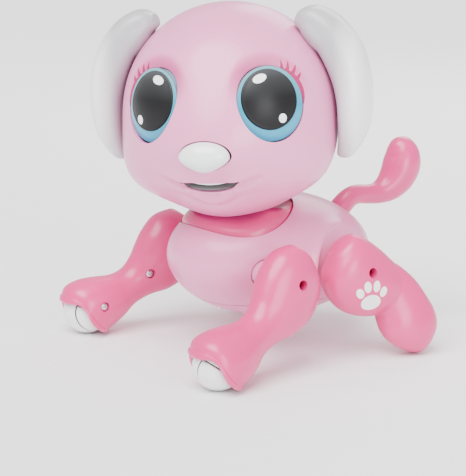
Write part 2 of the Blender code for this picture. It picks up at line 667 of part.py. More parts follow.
# ---- Legs ---------------------------------------------------------------------------------
def leg_skin(shape, stations, side, away, wall):
    """Half of a leg's skin, moved inwards by wall: rings of points round half the leg."""
    path = smooth_path(stations, LEG_STEPS)
    middles = [Vector(((a[0] + a[2]) / 2, (a[1] + a[3]) / 2)) for a in path]
    rings = []
    for index, (front_y, front_z, rear_y, rear_z, middle_x, outer_x, inner_x) in enumerate(path):
        half_x = (outer_x if away > 0 else inner_x) - wall
        middle, seam_x = middles[index], middle_x + away * SEAM_HALF_GAP
        if outer_x < 0.01:
            neighbour = middles[1] if index == 0 else middles[index - 1]
            tip = middle + (neighbour - middle).normalized() * wall
            rings.append([shape.verts.new((side * seam_x, tip.x, tip.y))])
            continue
        reach = Vector((front_y - rear_y, front_z - rear_z)) / 2
        reach -= reach.normalized() * wall
        ring = []
        for step in range(LEG_SIDES + 1):
            angle = pi * step / LEG_SIDES
            point = middle + reach * cos(angle)
            x = seam_x + away * half_x * max(0.0, sin(angle)) ** 0.9
            ring.append(shape.verts.new((side * x, point.x, point.y)))
        rings.append(ring)
    return rings


def leg_half(stations, side, away):
    """Half of a hollow leg, as a closed wall: away is 1 for the outer half and -1 for the inner."""
    shape = bmesh.new()
    skin = leg_skin(shape, stations, side, away, 0.0)
    lining = leg_skin(shape, stations, side, away, LEG_WALL)
    bridge_rings(shape, skin, closed=False)
    bridge_rings(shape, lining, closed=False)
    for end in (0, -1):
        bridge_rings(shape, [[a[end], b[end]] for a, b in zip(skin, lining)], closed=False)
    if len(skin[-1]) > 1:
        bridge_rings(shape, [skin[-1], lining[-1]], closed=False)
    face_outwards(shape)
    return shape


def screw_x(stations, place_yz, side):
    """The inner skin's x beside a screw, from the station nearest to it."""
    def distance(station):
        middle = ((station[0] + station[2]) / 2, (station[1] + station[3]) / 2)
        return (middle[0] - place_yz[0]) ** 2 + (middle[1] - place_yz[1]) ** 2
    nearest = min(smooth_path(stations, 4), key=distance)
    return side * (nearest[4] - nearest[6])


def build_leg(title, name, side, pivot, stations, screws, frame):
    axis = make_empty(f"{title}_leg_{name}_axis", (0.0, *pivot), frame)
    prefix = f"{title}_leg_{name}"
    pink = MATERIALS["deep_pink"]
    outer = make_object(f"{prefix}_outer", leg_half(stations, side, 1.0), pink, axis)
    inner = make_object(f"{prefix}_inner", leg_half(stations, side, -1.0), pink, axis)

    low, high = sorted((side * HUB_X[1], side * 90.0))
    hole = cross_rod(SCREW_HOLE, (0.0, 0.0), low, high)
    boolean(outer, [make_object(f"{prefix}_pivot_cut", hole, parent=axis)])
    low, high = sorted((side * 40.0, side * 60.0))
    cutters = [make_object(f"{prefix}_hub_cut", cross_rod(HUB_RADIUS + GAP, (0.0, 0.0), low, high),
                           parent=axis)]
    for index, spot in enumerate(screws):
        skin = screw_x(stations, spot, side)
        low, high = sorted((skin - side * 8.0, skin + side * 6.0))
        hole = cross_rod(SCREW_HOLE, spot, low, high)
        cutters.append(make_object(f"{prefix}_screw_cut_{index}", hole, parent=axis))
        screw(f"{prefix}_screw_{index + 1}", MATERIALS["steel"], axis, (skin + side * 0.5, *spot),
              (side, 0.0, 0.0), 12.0)
    boolean(inner, cutters)

    hub = [(HUB_BORE, HUB_X[1]), (HUB_RADIUS, HUB_X[1]), (HUB_RADIUS, HUB_X[0]), (HUB_BORE, HUB_X[0])]
    hub = turned_ring(f"{prefix}_hub", hub, MATERIALS["inner"], axis, steps=16)
    hub.rotation_euler = (0.0, side * pi / 2, 0.0)
    screw(f"{prefix}_pivot_screw", MATERIALS["steel"], axis, (side * PIVOT_SCREW_X, 0.0, 0.0),
          (-side, 0.0, 0.0), 12.0)
    return axis


def build_legs(frame):
    for name, side in SIDES.items():
        front = build_leg("front", name, side, SHOULDER, FRONT_LEG, FRONT_SCREWS, frame)
        toe_hole = cross_rod(SCREW_SHANK + 0.4, FRONT_SCREWS[-1], *sorted((side * 50.0, side * 71.0)))
        toe_hole = make_object(f"toe_cut_{name}", toe_hole, parent=front)
        toes = place(ball(TOE_HALF, 16, 10), (0.0, 0.0, 0.0), (TOE_TILT, 0.0, 0.0))
        place(toes, (side * TOE_CENTRE[0], TOE_CENTRE[1] - SHOULDER[0], TOE_CENTRE[2] - SHOULDER[1]))
        boolean(make_object(f"front_toes_{name}", toes, MATERIALS["white"], front), [toe_hole])
        build_leg("hind", name, side, HIP, HIND_LEG, (HIND_SCREW,), frame)


clear_scene()
DOG = make_collection("robot_dog")
CUTTERS = make_collection("cutters")
MATERIALS = {
    "pink": make_material("light_pink_plastic", PINK),
    "deep_pink": make_material("deep_pink_plastic", DEEP_PINK),
    "white": make_material("white_plastic", WHITE),
    "iris": make_material("teal_plastic", TEAL, 0.15),
    "pupil": make_material("smoked_plastic", CHARCOAL, 0.05),
    "charcoal": make_material("black_rubber", CHARCOAL, 0.6),
    "steel": make_material("steel", STEEL, 0.3, 1.0),
    "inner": make_material("inner_plastic", INNER_GREY, 0.5),
    "board": make_material("circuit_board", BOARD_GREEN, 0.4),
    "battery": make_material("battery_wrap", TEAL, 0.3),
}
FRAME = make_empty("dog_frame", (0.0, FRAME_Y, 0.0))
NECK = make_empty("neck_tilt", HEAD_CENTRE, FRAME, (NECK_TILT, 0.0, 0.0))
build_body_shells(FRAME)
build_battery(FRAME)
build_collar(FRAME, NECK)
build_inner_parts(FRAME, NECK)
build_head(NECK)
build_tail(FRAME)
build_legs(FRAME)
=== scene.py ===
"""Looks of the robot dog toy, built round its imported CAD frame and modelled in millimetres."""
import json
from math import asin, atan2, cos, degrees, exp, hypot, pi, radians, sin, sqrt, tau

import bmesh
import bpy
from mathutils import Euler, Matrix, Vector
from mathutils.bvhtree import BVHTree


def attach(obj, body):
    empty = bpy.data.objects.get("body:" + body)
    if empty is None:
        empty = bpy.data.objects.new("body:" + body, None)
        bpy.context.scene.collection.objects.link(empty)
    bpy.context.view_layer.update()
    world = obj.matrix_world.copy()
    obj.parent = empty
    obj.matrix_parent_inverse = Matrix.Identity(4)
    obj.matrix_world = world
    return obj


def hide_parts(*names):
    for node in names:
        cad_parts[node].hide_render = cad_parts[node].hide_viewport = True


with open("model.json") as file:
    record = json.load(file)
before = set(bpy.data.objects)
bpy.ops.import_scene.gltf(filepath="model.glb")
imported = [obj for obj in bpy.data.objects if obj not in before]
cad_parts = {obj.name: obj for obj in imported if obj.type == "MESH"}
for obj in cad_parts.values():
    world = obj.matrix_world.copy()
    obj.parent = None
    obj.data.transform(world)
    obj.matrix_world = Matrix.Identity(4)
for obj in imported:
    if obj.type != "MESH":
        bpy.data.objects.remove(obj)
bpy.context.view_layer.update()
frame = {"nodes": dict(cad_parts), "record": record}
NODES = frame["nodes"]

MM = 0.001
SIDES = {"left": 1, "right": -1}
FRAME_Y = -2.52
BODY_FRAME = Matrix.Translation((0.0, FRAME_Y * MM, 0.0))
HEAD_CENTRE = (0.0, -30.8, 140.2)
HEAD_FRAME = (BODY_FRAME @ Matrix.Translation(Vector(HEAD_CENTRE) * MM)
              @ Matrix.Rotation(radians(3.5), 4, "X") @ Matrix.Rotation(radians(43.5), 4, "Z"))
HEAD_IN_BODY = BODY_FRAME.inverted() @ HEAD_FRAME

# ---- Sizes shared with the CAD ----
# Head features: azimuth, elevation, height, width and tallness.
# Ear stations: outer x and z, inner x and z, place along y, half depth.
# Leg stations from the pivot: front y and z, rear y and z, middle x, outer and inner half widths.
# Tail stations: y, z and radius.
BODY_CENTRE, BODY_HALF, BODY_TILT = (0.0, -3.3, 53.4), (48.0, 65.4, 36.6), -3.2
BELLY_SEAM_Z = 30.0
COLLAR_CENTRE, COLLAR_HALF = (0.0, -27.0, 74.5), (36.0, 31.5)
SHOULDER, HIP = (-34.4, 51.9), (14.6, 52.4)
HEAD_RADIUS, HEAD_WALL, HEAD_SEAM_Y, HEAD_OPENING = 62.0, 2.2, 1.5, 30.0
MUZZLE = (0.0, -11.5, 9.5, 22.0, 15.0)
CHEEK = (56.0, -27.5, 7.5, 24.0, 12.0)
CHIN = (0.0, -44.5, 3.5, 24.0, 14.0)
NAPE = (180.0, -58.5, -5.5, 55.0, 12.0)
EYE_AZIMUTH, EYE_ELEVATION = 34.5, 11.1
EYE_HALF, EYE_CURVE, EYE_PROUD = (19.4, 20.6), 40.0, 1.0
PUPIL_HALF, PUPIL_OFFSET = (16.2, 16.8), (-1.0, 2.7)
EAR = [
    (43.0, 56.6, 39.8, 49.0, -1.0, 11.0), (49.0, 58.6, 43.6, 45.0, -1.0, 15.0),
    (56.0, 57.5, 49.0, 38.6, 0.0, 17.0), (66.0, 51.0, 55.4, 28.5, 1.0, 18.0),
    (76.0, 37.5, 60.4, 16.0, 2.0, 19.0), (81.0, 22.0, 62.8, 5.0, 2.0, 19.6),
    (82.0, 7.0, 63.2, -6.0, 2.0, 19.6), (80.5, -8.0, 62.8, -15.5, 2.0, 17.8),
    (76.0, -19.0, 61.6, -22.4, 2.0, 14.5), (70.5, -26.4, 61.4, -26.6, 2.0, 10.0),
    (65.5, -29.2, 65.5, -29.2, 2.0, 0.0),
]
EAR_LOBE, EAR_LOBE_HALF, EAR_LOBE_TURN = (53.2, -1.5, 43.0), (8.3, 13.5, 15.5), -39.0
FRONT_LEG = [
    (8.5, 16.5, 8.5, 16.5, 63.0, 0.0, 0.0), (4.8, 18.9, 11.7, 13.1, 63.0, 3.9, 4.8),
    (1.2, 20.1, 14.8, 9.0, 63.0, 6.9, 8.4),
    (-9.6, 17.0, 18.6, -3.0, 63.3, 11.5, 14.0), (-17.5, 8.6, 16.8, -14.0, 63.8, 13.0, 15.5),
    (-22.0, 0.2, 9.8, -23.5, 64.5, 12.8, 14.5), (-25.0, -7.2, -1.0, -29.6, 65.5, 11.8, 12.6),
    (-30.0, -14.2, -13.2, -32.0, 67.0, 11.2, 11.4), (-37.4, -17.4, -23.6, -36.4, 68.5, 12.0, 12.0),
    (-47.2, -17.8, -30.4, -42.9, 70.3, 14.5, 14.5), (-57.4, -18.8, -36.2, -47.6, 71.5, 16.3, 16.3),
    (-65.8, -22.8, -40.0, -49.8, 72.0, 17.0, 17.0), (-69.2, -30.9, -43.0, -51.4, 72.0, 17.0, 17.0),
]
THIGH = [
    (-14.6, 14.6, -14.6, 14.6, 62.0, 0.0, 0.0), (-9.7, 18.2, -18.3, 9.8, 62.0, 4.9, 5.9),
    (-4.0, 20.6, -19.6, 5.6, 62.0, 8.0, 9.5),
    (3.4, 17.6, -22.6, -4.4, 62.3, 12.0, 14.0), (11.4, 12.1, -19.6, -15.4, 62.8, 13.5, 15.5),
    (18.4, 6.1, -10.6, -23.9, 63.5, 13.8, 15.0), (24.8, -0.4, 1.4, -27.6, 64.5, 13.0, 13.6),
    (28.4, -7.2, 12.4, -27.0, 65.3, 10.8, 11.2), (29.0, -13.6, 20.6, -23.4, 66.0, 6.6, 7.0),
    (26.6, -19.2, 26.6, -19.2, 66.4, 0.0, 0.0),
]
SHANK = [
    (12.0, -4.0, 12.0, -4.0, 66.0, 0.0, 0.0), (21.6, 1.4, 6.0, -16.0, 66.0, 7.5, 7.5),
    (28.6, -2.6, 9.6, -24.8, 67.0, 9.8, 9.8), (35.4, -9.4, 10.6, -32.0, 69.0, 10.8, 10.8),
    (41.4, -18.4, 11.6, -37.4, 71.0, 11.8, 11.8), (46.4, -27.4, 14.4, -42.2, 72.5, 12.0, 12.0),
    (47.4, -35.6, 20.0, -46.8, 73.3, 11.2, 11.2), (43.6, -43.8, 27.4, -50.4, 73.8, 8.2, 8.2),
    (39.4, -49.4, 33.0, -51.9, 74.0, 4.0, 4.0), (36.4, -51.6, 36.4, -51.6, 74.0, 0.0, 0.0),
]
TAIL_PIVOT = (0.0, 47.0, 72.0)
TAIL = [
    (47.0, 72.0, 6.6), (51.0, 76.0, 6.5), (56.0, 79.6, 6.2), (62.0, 81.0, 6.0), (70.0, 80.2, 6.0),
    (78.0, 80.3, 6.9), (86.0, 83.0, 9.2), (92.5, 88.5, 11.2), (96.3, 95.5, 12.0), (96.8, 102.0, 11.2),
    (95.4, 107.5, 8.9), (93.8, 111.2, 5.6), (93.0, 113.2, 1.2),
]
FRONT_SCREWS, HIND_SCREWS = ((-18.5, -16.5), (-50.0, -33.0)), ((23.0, -26.0),)
SCREW_HOLE, DOOR_SCREW_HOLE, HUB_HOLE, TAIL_HOLE, BODY_WALL = 2.9, 2.3, 8.5, 8.2, 2.4
TOE_CENTRE, TOE_HALF, TOE_TILT = (72.0, -88.4, 13.25), (13.4, 14.4, 12.7), -33.7
DOOR_HALF, DOOR_Y, DOOR_SCREW_Y, BELLY_SCREW_Y = (15.0, 16.0), -3.0, 9.0, (-38.0, 36.0)
SWITCH_Y, SWITCH_TRAVEL, SWITCH_HALF = 24.0, 4.0, (2.2, 2.6)

# ---- Sizes of the looks alone ----
HALF_SEAM = 0.15
NOSE_PLACE, NOSE_HALF, NOSE_TAPER = (0.0, -70.6, -13.6), (14.2, 7.2, 8.5), 0.36
RECESS_GAP = 0.5
MOUTH_PLACE, MOUTH_TILT = (0.0, -60.5, -31.4), 25.5
MOUTH_HALF_WIDTH, UPPER_LIP, LOWER_LIP = 16.8, 1.9, 5.4
SMILE = ((15.5, -32.0), (20.0, -30.6), (25.0, -28.6), (29.5, -27.6))
LIP = ((0.0, -41.5), (5.0, -40.4), (10.0, -37.4), (15.0, -33.4))
CREASE_DEPTH, CHEEK_PUFF, LIP_HEIGHT, LIP_GROOVE = 2.6, 1.1, 1.6, 1.3
LID_DEPTH, LID_REACH = 3.4, 0.44
IRIS_THICKNESS, PUPIL_CURVE, PUPIL_THICKNESS, PUPIL_PROUD = 5.5, 37.0, 1.6, 0.9
# Each lash: degrees round the eye at its base and tip, reach from the eye's middle, width in degrees.
LASHES = ((58.0, 65.0, 1.26, 6.2), (49.5, 55.0, 1.32, 7.0), (40.5, 44.0, 1.37, 7.2), (31.0, 33.5, 1.33, 7.0))
EAR_WRAP_RADIUS = 66.0
THIGH_LIP, THIGH_LIP_RADIUS, THIGH_LIP_HEIGHT = (17.0, 51.6), 21.4, 1.6
COLLAR_RISE, COLLAR_RIM_TOP, HEAD_UNDERSIDE = 17.3, 86.5, 84.6
SKIRT_SPAN, SKIRT_DOWN = 16.0, Vector((0.0, -0.55, -0.835))
# The lip and the hollow of the front paw: stations back from the paw's end, and growth of the skin.
PAW_LIP = ((3.6, 0.0), (3.3, 0.2), (3.05, 0.55), (2.7, 0.7), (1.5, 0.7), (0.5, 0.7), (0.15, 0.5), (0.0, 0.1),
           (0.0, -0.9), (0.3, -1.6), (1.5, -2.0), (5.0, -2.3), (9.0, -2.6), (12.0, -4.0))
SCREW_RADIUS, SCREW_TURN = 2.5, 25.0
TOE_GROOVE, TOE_GROOVE_WIDTH = 0.085, 0.036
RING_POINTS, LENS_STEPS = 72, 96


# ---- Materials ----
def new_material(name):
    material = bpy.data.materials.new(name)
    material.use_nodes = True
    nodes = material.node_tree.nodes
    return material, nodes, material.node_tree.links, nodes["Principled BSDF"]


def add(nodes, kind, **inputs):
    node = nodes.new(kind)
    for key, value in inputs.items():
        node.inputs[key.replace("_", " ")].default_value = value
    return node


def fed(nodes, links, kind, source, **inputs):
    """Adds a node with a socket linked to its first input; gives its outputs."""
    node = add(nodes, kind, **inputs)
    links.new(source, node.inputs[0])
    return node.outputs


def calculate(nodes, links, operation, *values):
    """A maths node on sockets or numbers; gives its result socket."""
    node = nodes.new("ShaderNodeMath")
    node.operation = operation
    for socket, value in zip(node.inputs, values):
        if isinstance(value, float):
            socket.default_value = value
        else:
            links.new(value, socket)
    return node.outputs[0]


def ramp(nodes, links, factor, stops):
    """A colour ramp from (position, colour) stops, fed by a factor socket."""
    node = nodes.new("ShaderNodeValToRGB")
    elements = node.color_ramp.elements
    while len(elements) < len(stops):
        elements.new(0.5)
    for element, (position, colour) in zip(elements, stops):
        element.position = position
        element.color = (*colour, 1.0)
    links.new(factor, node.inputs["Fac"])
    return node.outputs["Color"]


def grain(nodes, links, shader, scale, strength, roughness, spread):
    """Fine moulding texture: a little bump and a slow change of roughness."""
    coordinates = nodes.new("ShaderNodeTexCoord").outputs["Object"]
    fine = fed(nodes, links, "ShaderNodeTexNoise", coordinates, Scale=scale, Detail=3.0, Roughness=0.6)
    bump = add(nodes, "ShaderNodeBump", Strength=strength, Distance=0.0002)
    links.new(fine["Fac"], bump.inputs["Height"])
    links.new(bump.outputs["Normal"], shader.inputs["Normal"])
    slow = fed(nodes, links, "ShaderNodeTexNoise", coordinates, Scale=28.0, Detail=2.0)["Fac"]
    span = fed(nodes, links, "ShaderNodeMapRange", slow, To_Min=roughness - spread, To_Max=roughness + spread)
    links.new(span["Result"], shader.inputs["Roughness"])
    return coordinates, slow


def plastic(name, pale, deep, roughness, coat=0.25, scale=1500.0, strength=0.06):
    """Moulded plastic whose colour drifts a little between pale and deep."""
    material, nodes, links, shader = new_material(name)
    _, slow = grain(nodes, links, shader, scale, strength, roughness, 0.04)
    links.new(ramp(nodes, links, slow, [(0.3, pale), (0.7, deep)]), shader.inputs["Base Color"])
    shader.inputs["Coat Weight"].default_value = coat
    shader.inputs["Coat Roughness"].default_value = 0.18
    return material


def mapped(nodes, links, source, **inputs):
    """A vector socket taken into the space that a location, rotation and scale describe."""
    mapping = add(nodes, "ShaderNodeMapping", **inputs)
    mapping.vector_type = "TEXTURE"
    links.new(source, mapping.inputs["Vector"])
    return fed(nodes, links, "ShaderNodeSeparateXYZ", mapping.outputs["Vector"])


def beside_eye(nodes, links):
    """Places across and up an eye, 1 at its rim; the right half of the head mirrors the left."""
    head = mapped(nodes, links, nodes.new("ShaderNodeTexCoord").outputs["Object"],
                  Location=HEAD_IN_BODY.translation, Rotation=HEAD_IN_BODY.to_euler())
    join = nodes.new("ShaderNodeCombineXYZ")
    links.new(calculate(nodes, links, "ABSOLUTE", head["X"]), join.inputs["X"])
    links.new(head["Y"], join.inputs["Y"])
    links.new(head["Z"], join.inputs["Z"])
    eye = EYE_FRAMES[SIDES["left"]]
    local = mapped(nodes, links, join.outputs["Vector"], Location=eye.translation * MM,
                   Rotation=eye.to_euler(), Scale=(EYE_HALF[0] * MM, EYE_HALF[1] * MM, MM))
    return local["X"], local["Y"]


def pink_with_painted_eye_shade(name, base, shade):
    """Light pink plastic with a deeper crescent of painted shade in the recess over each eye."""
    material = base.copy()
    material.name = name
    nodes, links = material.node_tree.nodes, material.node_tree.links
    shader = nodes["Principled BSDF"]
    plain = shader.inputs["Base Color"].links[0].from_socket
    across, up = beside_eye(nodes, links)
    # Mask of the painted shade: strongest near each eye's rim and over its top.
    square = calculate(nodes, links, "ADD", calculate(nodes, links, "POWER", across, 2.0),
                       calculate(nodes, links, "POWER", up, 2.0))
    near = add(nodes, "ShaderNodeMapRange", From_Min=2.15, From_Max=1.35)
    near.interpolation_type = "SMOOTHSTEP"
    links.new(square, near.inputs["Value"])
    over = fed(nodes, links, "ShaderNodeMapRange", up, From_Min=0.15, From_Max=0.95)
    painted_shade_amount = calculate(nodes, links, "MULTIPLY", near.outputs["Result"], over["Result"])
    mix = nodes.new("ShaderNodeMix")
    mix.data_type = "RGBA"
    mix.inputs["B"].default_value = (*shade, 1.0)
    links.new(painted_shade_amount, mix.inputs["Factor"])
    links.new(plain, mix.inputs["A"])
    links.new(mix.outputs["Result"], shader.inputs["Base Color"])
    return material


def graded(name, axis, low, high, stops, roughness, coat=0.6, shine=0.5, mirrored=False):
    """Glossy plastic with colours graded along one axis of its own object, in millimetres."""
    material, nodes, links, shader = new_material(name)
    coordinates, _ = grain(nodes, links, shader, 900.0, 0.02, roughness, 0.02)
    position = fed(nodes, links, "ShaderNodeSeparateXYZ", coordinates)[axis]
    if mirrored:
        position = calculate(nodes, links, "ABSOLUTE", position)
    span = fed(nodes, links, "ShaderNodeMapRange", position, From_Min=low * MM, From_Max=high * MM)
    links.new(ramp(nodes, links, span["Result"], stops), shader.inputs["Base Color"])
    shader.inputs["Specular IOR Level"].default_value = shine
    shader.inputs["Coat Weight"].default_value = coat
    shader.inputs["Coat Roughness"].default_value = 0.12
    return material


def metal(name, colour, dark, roughness):
    """Metal that drifts between two tones."""
    material, nodes, links, shader = new_material(name)
    _, slow = grain(nodes, links, shader, 2600.0, 0.15, roughness, 0.08)
    links.new(ramp(nodes, links, slow, [(0.35, dark), (0.65, colour)]), shader.inputs["Base Color"])
    shader.inputs["Metallic"].default_value = 1.0
    return material


def circuit_board(name):
    """Green board with fine copper tracks and pads."""
    material, nodes, links, shader = new_material(name)
    coordinates, _ = grain(nodes, links, shader, 900.0, 0.05, 0.4, 0.05)
    tracks = fed(nodes, links, "ShaderNodeTexBrick", coordinates, Scale=160.0, Mortar_Size=0.06,
                 Color1=(0.01, 0.12, 0.05, 1.0), Color2=(0.02, 0.16, 0.07, 1.0),
                 Mortar=(0.45, 0.28, 0.08, 1.0))
    links.new(tracks["Color"], shader.inputs["Base Color"])
    return material


PINK = plastic("light_pink_plastic", (0.84, 0.26, 0.50), (0.82, 0.24, 0.48), roughness=0.34)
DEEP_PINK = plastic("deep_pink_plastic", (0.70, 0.035, 0.21), (0.67, 0.030, 0.19), roughness=0.32)
WHITE = plastic("white_plastic", (0.90, 0.91, 0.92), (0.86, 0.87, 0.88), roughness=0.35)
# White nose with painted light: greyer towards the bottom, lightest at the top.
NOSE_WHITE_PAINTED_SHADE = graded("nose_plastic_painted_shade", "Z", -9.0, 9.0,
                    [(0.0, (0.72, 0.76, 0.77)), (0.5, (0.84, 0.87, 0.88)), (1.0, (0.95, 0.95, 0.95))], 0.16)
# White ears with painted shade: grey on the side that faces the head, white further out.
EAR_WHITE_PAINTED_SHADE = graded("ear_plastic_painted_shade", "X", 0.0, 82.0,
                   [(0.0, (0.40, 0.40, 0.42)), (0.77, (0.45, 0.45, 0.47)), (0.90, (0.88, 0.88, 0.89)),
                    (1.0, (0.92, 0.92, 0.93))], 0.35, coat=0.2, mirrored=True)
TOE_WHITE = plastic("toe_plastic", (0.88, 0.89, 0.90), (0.82, 0.84, 0.85), roughness=0.25, coat=0.5)
IRIS = graded("iris_plastic", "Y", -21.0, 21.0,
              [(0.0, (0.01, 0.32, 0.50)), (0.45, (0.02, 0.30, 0.46)), (0.8, (0.08, 0.34, 0.44)),
               (1.0, (0.16, 0.38, 0.45))], 0.2, coat=0.2)
# Black pupil with a painted sheen: lighter grey towards the top.
PUPIL = graded("pupil_plastic_painted_sheen", "Y", -17.0, 17.0,
               [(0.0, (0.006, 0.006, 0.007)), (0.5, (0.009, 0.009, 0.010)), (0.82, (0.030, 0.031, 0.033)),
                (1.0, (0.060, 0.063, 0.070))], 0.36, coat=0.0, shine=0.22)
OUTLINE = plastic("eye_outline", (0.10, 0.09, 0.12), (0.14, 0.12, 0.16), roughness=0.4, coat=0.1)
# White for the painted highlights on the pupils, and for the mouth's teeth.
HIGHLIGHT_AND_TEETH_WHITE = plastic("eye_highlight_and_teeth_white", (0.97, 0.97, 0.97), (0.93, 0.94, 0.95), roughness=0.15, coat=0.5)
LASH = plastic("lash_print", (0.42, 0.003, 0.12), (0.38, 0.002, 0.10), roughness=0.5, coat=0.0)
PRINT_WHITE = plastic("white_print", (0.95, 0.95, 0.95), (0.90, 0.90, 0.91), roughness=0.3, coat=0.2)
# Dark grey mouth insert with painted light: a lighter band low down as a painted highlight, and painted shade
# darkening it towards the top under the upper lip.
MOUTH = graded("mouth_plastic_painted_light", "Z", -4.0, 4.0,
               [(0.0, (0.03, 0.03, 0.03)), (0.25, (0.12, 0.12, 0.12)), (0.45, (0.05, 0.05, 0.05)),
                (0.7, (0.008, 0.008, 0.008)), (1.0, (0.004, 0.004, 0.004))], 0.3, coat=0.1, shine=0.3)
# Painted shade: a dark core for the grooves between the toes.
TOE_GAP_PAINTED_SHADE = plastic("painted_shade_in_toe_gaps", (0.05, 0.02, 0.03), (0.03, 0.012, 0.02), roughness=0.6, coat=0.0)
# Dark crimson on the pivot screws deep in their holes: painted shade of the hole.
CRIMSON_PAINTED_SHADE = metal("crimson_screw_painted_shade", (0.55, 0.03, 0.12), (0.28, 0.01, 0.05), roughness=0.3)
STEEL = metal("screw_steel", (0.80, 0.80, 0.82), (0.55, 0.55, 0.57), roughness=0.22)
GREY = plastic("inner_plastic", (0.30, 0.31, 0.33), (0.22, 0.23, 0.25), roughness=0.5, coat=0.0)
BLACK = plastic("switch_plastic", (0.04, 0.04, 0.045), (0.025, 0.025, 0.03), roughness=0.5, coat=0.0)
WRAP = plastic("battery_wrap", (0.08, 0.42, 0.60), (0.06, 0.34, 0.52), roughness=0.3)
BOARD = circuit_board("circuit_board")


# ---- Mesh helpers ----
def direction_at(azimuth, elevation):
    """A unit direction; azimuths run from the front towards the left."""
    azimuth, elevation = radians(azimuth), radians(elevation)
    return Vector((sin(azimuth) * cos(elevation), -cos(azimuth) * cos(elevation), sin(elevation)))


def new_object(name, data):
    obj = bpy.data.objects.new(name, data)
    bpy.context.scene.collection.objects.link(obj)
    return obj


def turns(count):
    """Angles that part a full turn evenly."""
    return [tau * k / count for k in range(count)]


def smooth_path(points, steps):
    """A Catmull-Rom curve through points of any dimension, with its ends repeated."""
    padded = [points[0]] + list(points) + [points[-1]]
    path = []
    for before, start, end, after in zip(padded, padded[1:], padded[2:], padded[3:]):
        for step in range(steps):
            t = step / steps
            path.append(tuple(
                0.5 * (2 * b + (c - a) * t + (2 * a - 5 * b + 4 * c - d) * t**2
                       + (3 * b - a - 3 * c + d) * t**3)
                for a, b, c, d in zip(before, start, end, after)))
    return path + [tuple(points[-1])]


def skin(rings, around=False):
    """A closed shape over rings of points; a ring of one point is a tip, and open ends are capped."""
    shape = bmesh.new()
    loops = [[shape.verts.new(point) for point in ring] for ring in rings]
    for lower, upper in zip(loops, loops[1:] + (loops[:1] if around else [])):
        count = max(len(lower), len(upper))
        for index in range(count):
            following = (index + 1) % count
            corners = [lower[index % len(lower)], lower[following % len(lower)],
                       upper[following % len(upper)], upper[index % len(upper)]]
            shape.faces.new([corner for k, corner in enumerate(corners) if corner not in corners[:k]])
    for end in (loops[0], loops[-1]):
        if len(end) > 1 and not around:
            shape.faces.new(end)
    bmesh.ops.recalc_face_normals(shape, faces=shape.faces)
    return shape


def stretch(shape, factors):
    bmesh.ops.scale(shape, vec=factors, verts=shape.verts)
    return shape


def ball(half, subdivisions):
    shape = bmesh.new()
    bmesh.ops.create_icosphere(shape, subdivisions=subdivisions, radius=1.0)
    return stretch(shape, half)


def rod(radius, low, high, segments=64):
    shape = bmesh.new()
    bmesh.ops.create_cone(shape, cap_ends=True, segments=segments, radius1=radius, radius2=radius,
                          depth=high - low)
    bmesh.ops.translate(shape, vec=(0.0, 0.0, (low + high) / 2), verts=shape.verts)
    return shape


def box(half):
    shape = bmesh.new()
    bmesh.ops.create_cube(shape, size=2.0)
    return stretch(shape, half)


def place(shape, location, rotation=(0.0, 0.0, 0.0)):
    turn = Euler([radians(angle) for angle in rotation]).to_matrix().to_4x4()
    shape.transform(Matrix.Translation(Vector(location)) @ turn)
    return shape


def lathe(profile, steps):
    """A closed solid of (radius, height) points turned about Z, from its top to its bottom."""
    rings = []
    for radius, height in profile:
        angles = turns(steps) if radius > 0.0 else [0.0]
        rings.append([(radius * cos(angle), radius * sin(angle), height) for angle in angles])
    return skin(rings)


def keep_side(shape, point, normal):
    bmesh.ops.bisect_plane(shape, geom=shape.verts[:] + shape.edges[:] + shape.faces[:],
                           plane_co=point, plane_no=normal, clear_outer=True)
    return shape


def solid(shape, name="part"):
    """An unplaced object from a bmesh in millimetres."""
    mesh = bpy.data.meshes.new(name)
    shape.to_mesh(mesh)
    shape.free()
    mesh.transform(Matrix.Scale(MM, 4))
    return new_object(name, mesh)


def settle(obj):
    """Applies the object's modifiers."""
    bpy.context.view_layer.update()
    evaluated = obj.evaluated_get(bpy.context.evaluated_depsgraph_get())
    mesh = bpy.data.meshes.new_from_object(evaluated)
    obj.modifiers.clear()
    obj.data = mesh
    return obj


def wall(obj, thickness):
    modifier = obj.modifiers.new("wall", "SOLIDIFY")
    modifier.thickness = thickness * MM
    modifier.offset = -1.0
    modifier.use_even_offset = False
    return settle(obj)


def cut_away(obj, shapes):
    """Cuts bmesh shapes out of an object."""
    cutters = [solid(shape) for shape in shapes]
    for cutter in cutters:
        modifier = obj.modifiers.new("cut", "BOOLEAN")
        modifier.operation = "DIFFERENCE"
        modifier.solver = "EXACT"
        modifier.object = cutter
    settle(obj)
    for cutter in cutters:
        bpy.data.objects.remove(cutter)
    return obj


def join(objects):
    """Gathers the meshes of several objects in the first."""
    main = objects[0]
    merged = bmesh.new()
    for obj in objects:
        merged.from_mesh(obj.data)
    merged.to_mesh(main.data)
    merged.free()
    for other in objects[1:]:
        bpy.data.objects.remove(other)
    return main


def soften(obj, rounds):
    modifier = obj.modifiers.new("soften", "SMOOTH")
    modifier.factor = 0.5
    modifier.iterations = rounds
    return obj


def melt(objects, voxel, rounds):
    """Joins closed shapes into one skin with softened creases."""
    main = join(objects)
    remesh = main.modifiers.new("melt", "REMESH")
    remesh.mode = "VOXEL"
    remesh.voxel_size = voxel * MM
    return settle(soften(main, rounds))


def piece(obj, name, material, body, replaced=(), at=BODY_FRAME, sharp=38.0):
    """Finishes a modelled part: its name, place, shading, material and body; hides the CAD parts it replaces.
    """
    obj.name = name
    obj.data.name = name
    obj.data.materials.clear()
    obj.data.materials.append(material)
    obj.data.shade_smooth()
    obj.data.set_sharp_from_angle(angle=radians(sharp))
    obj.matrix_world = at
    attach(obj, body)
    if replaced:
        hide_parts(*replaced)


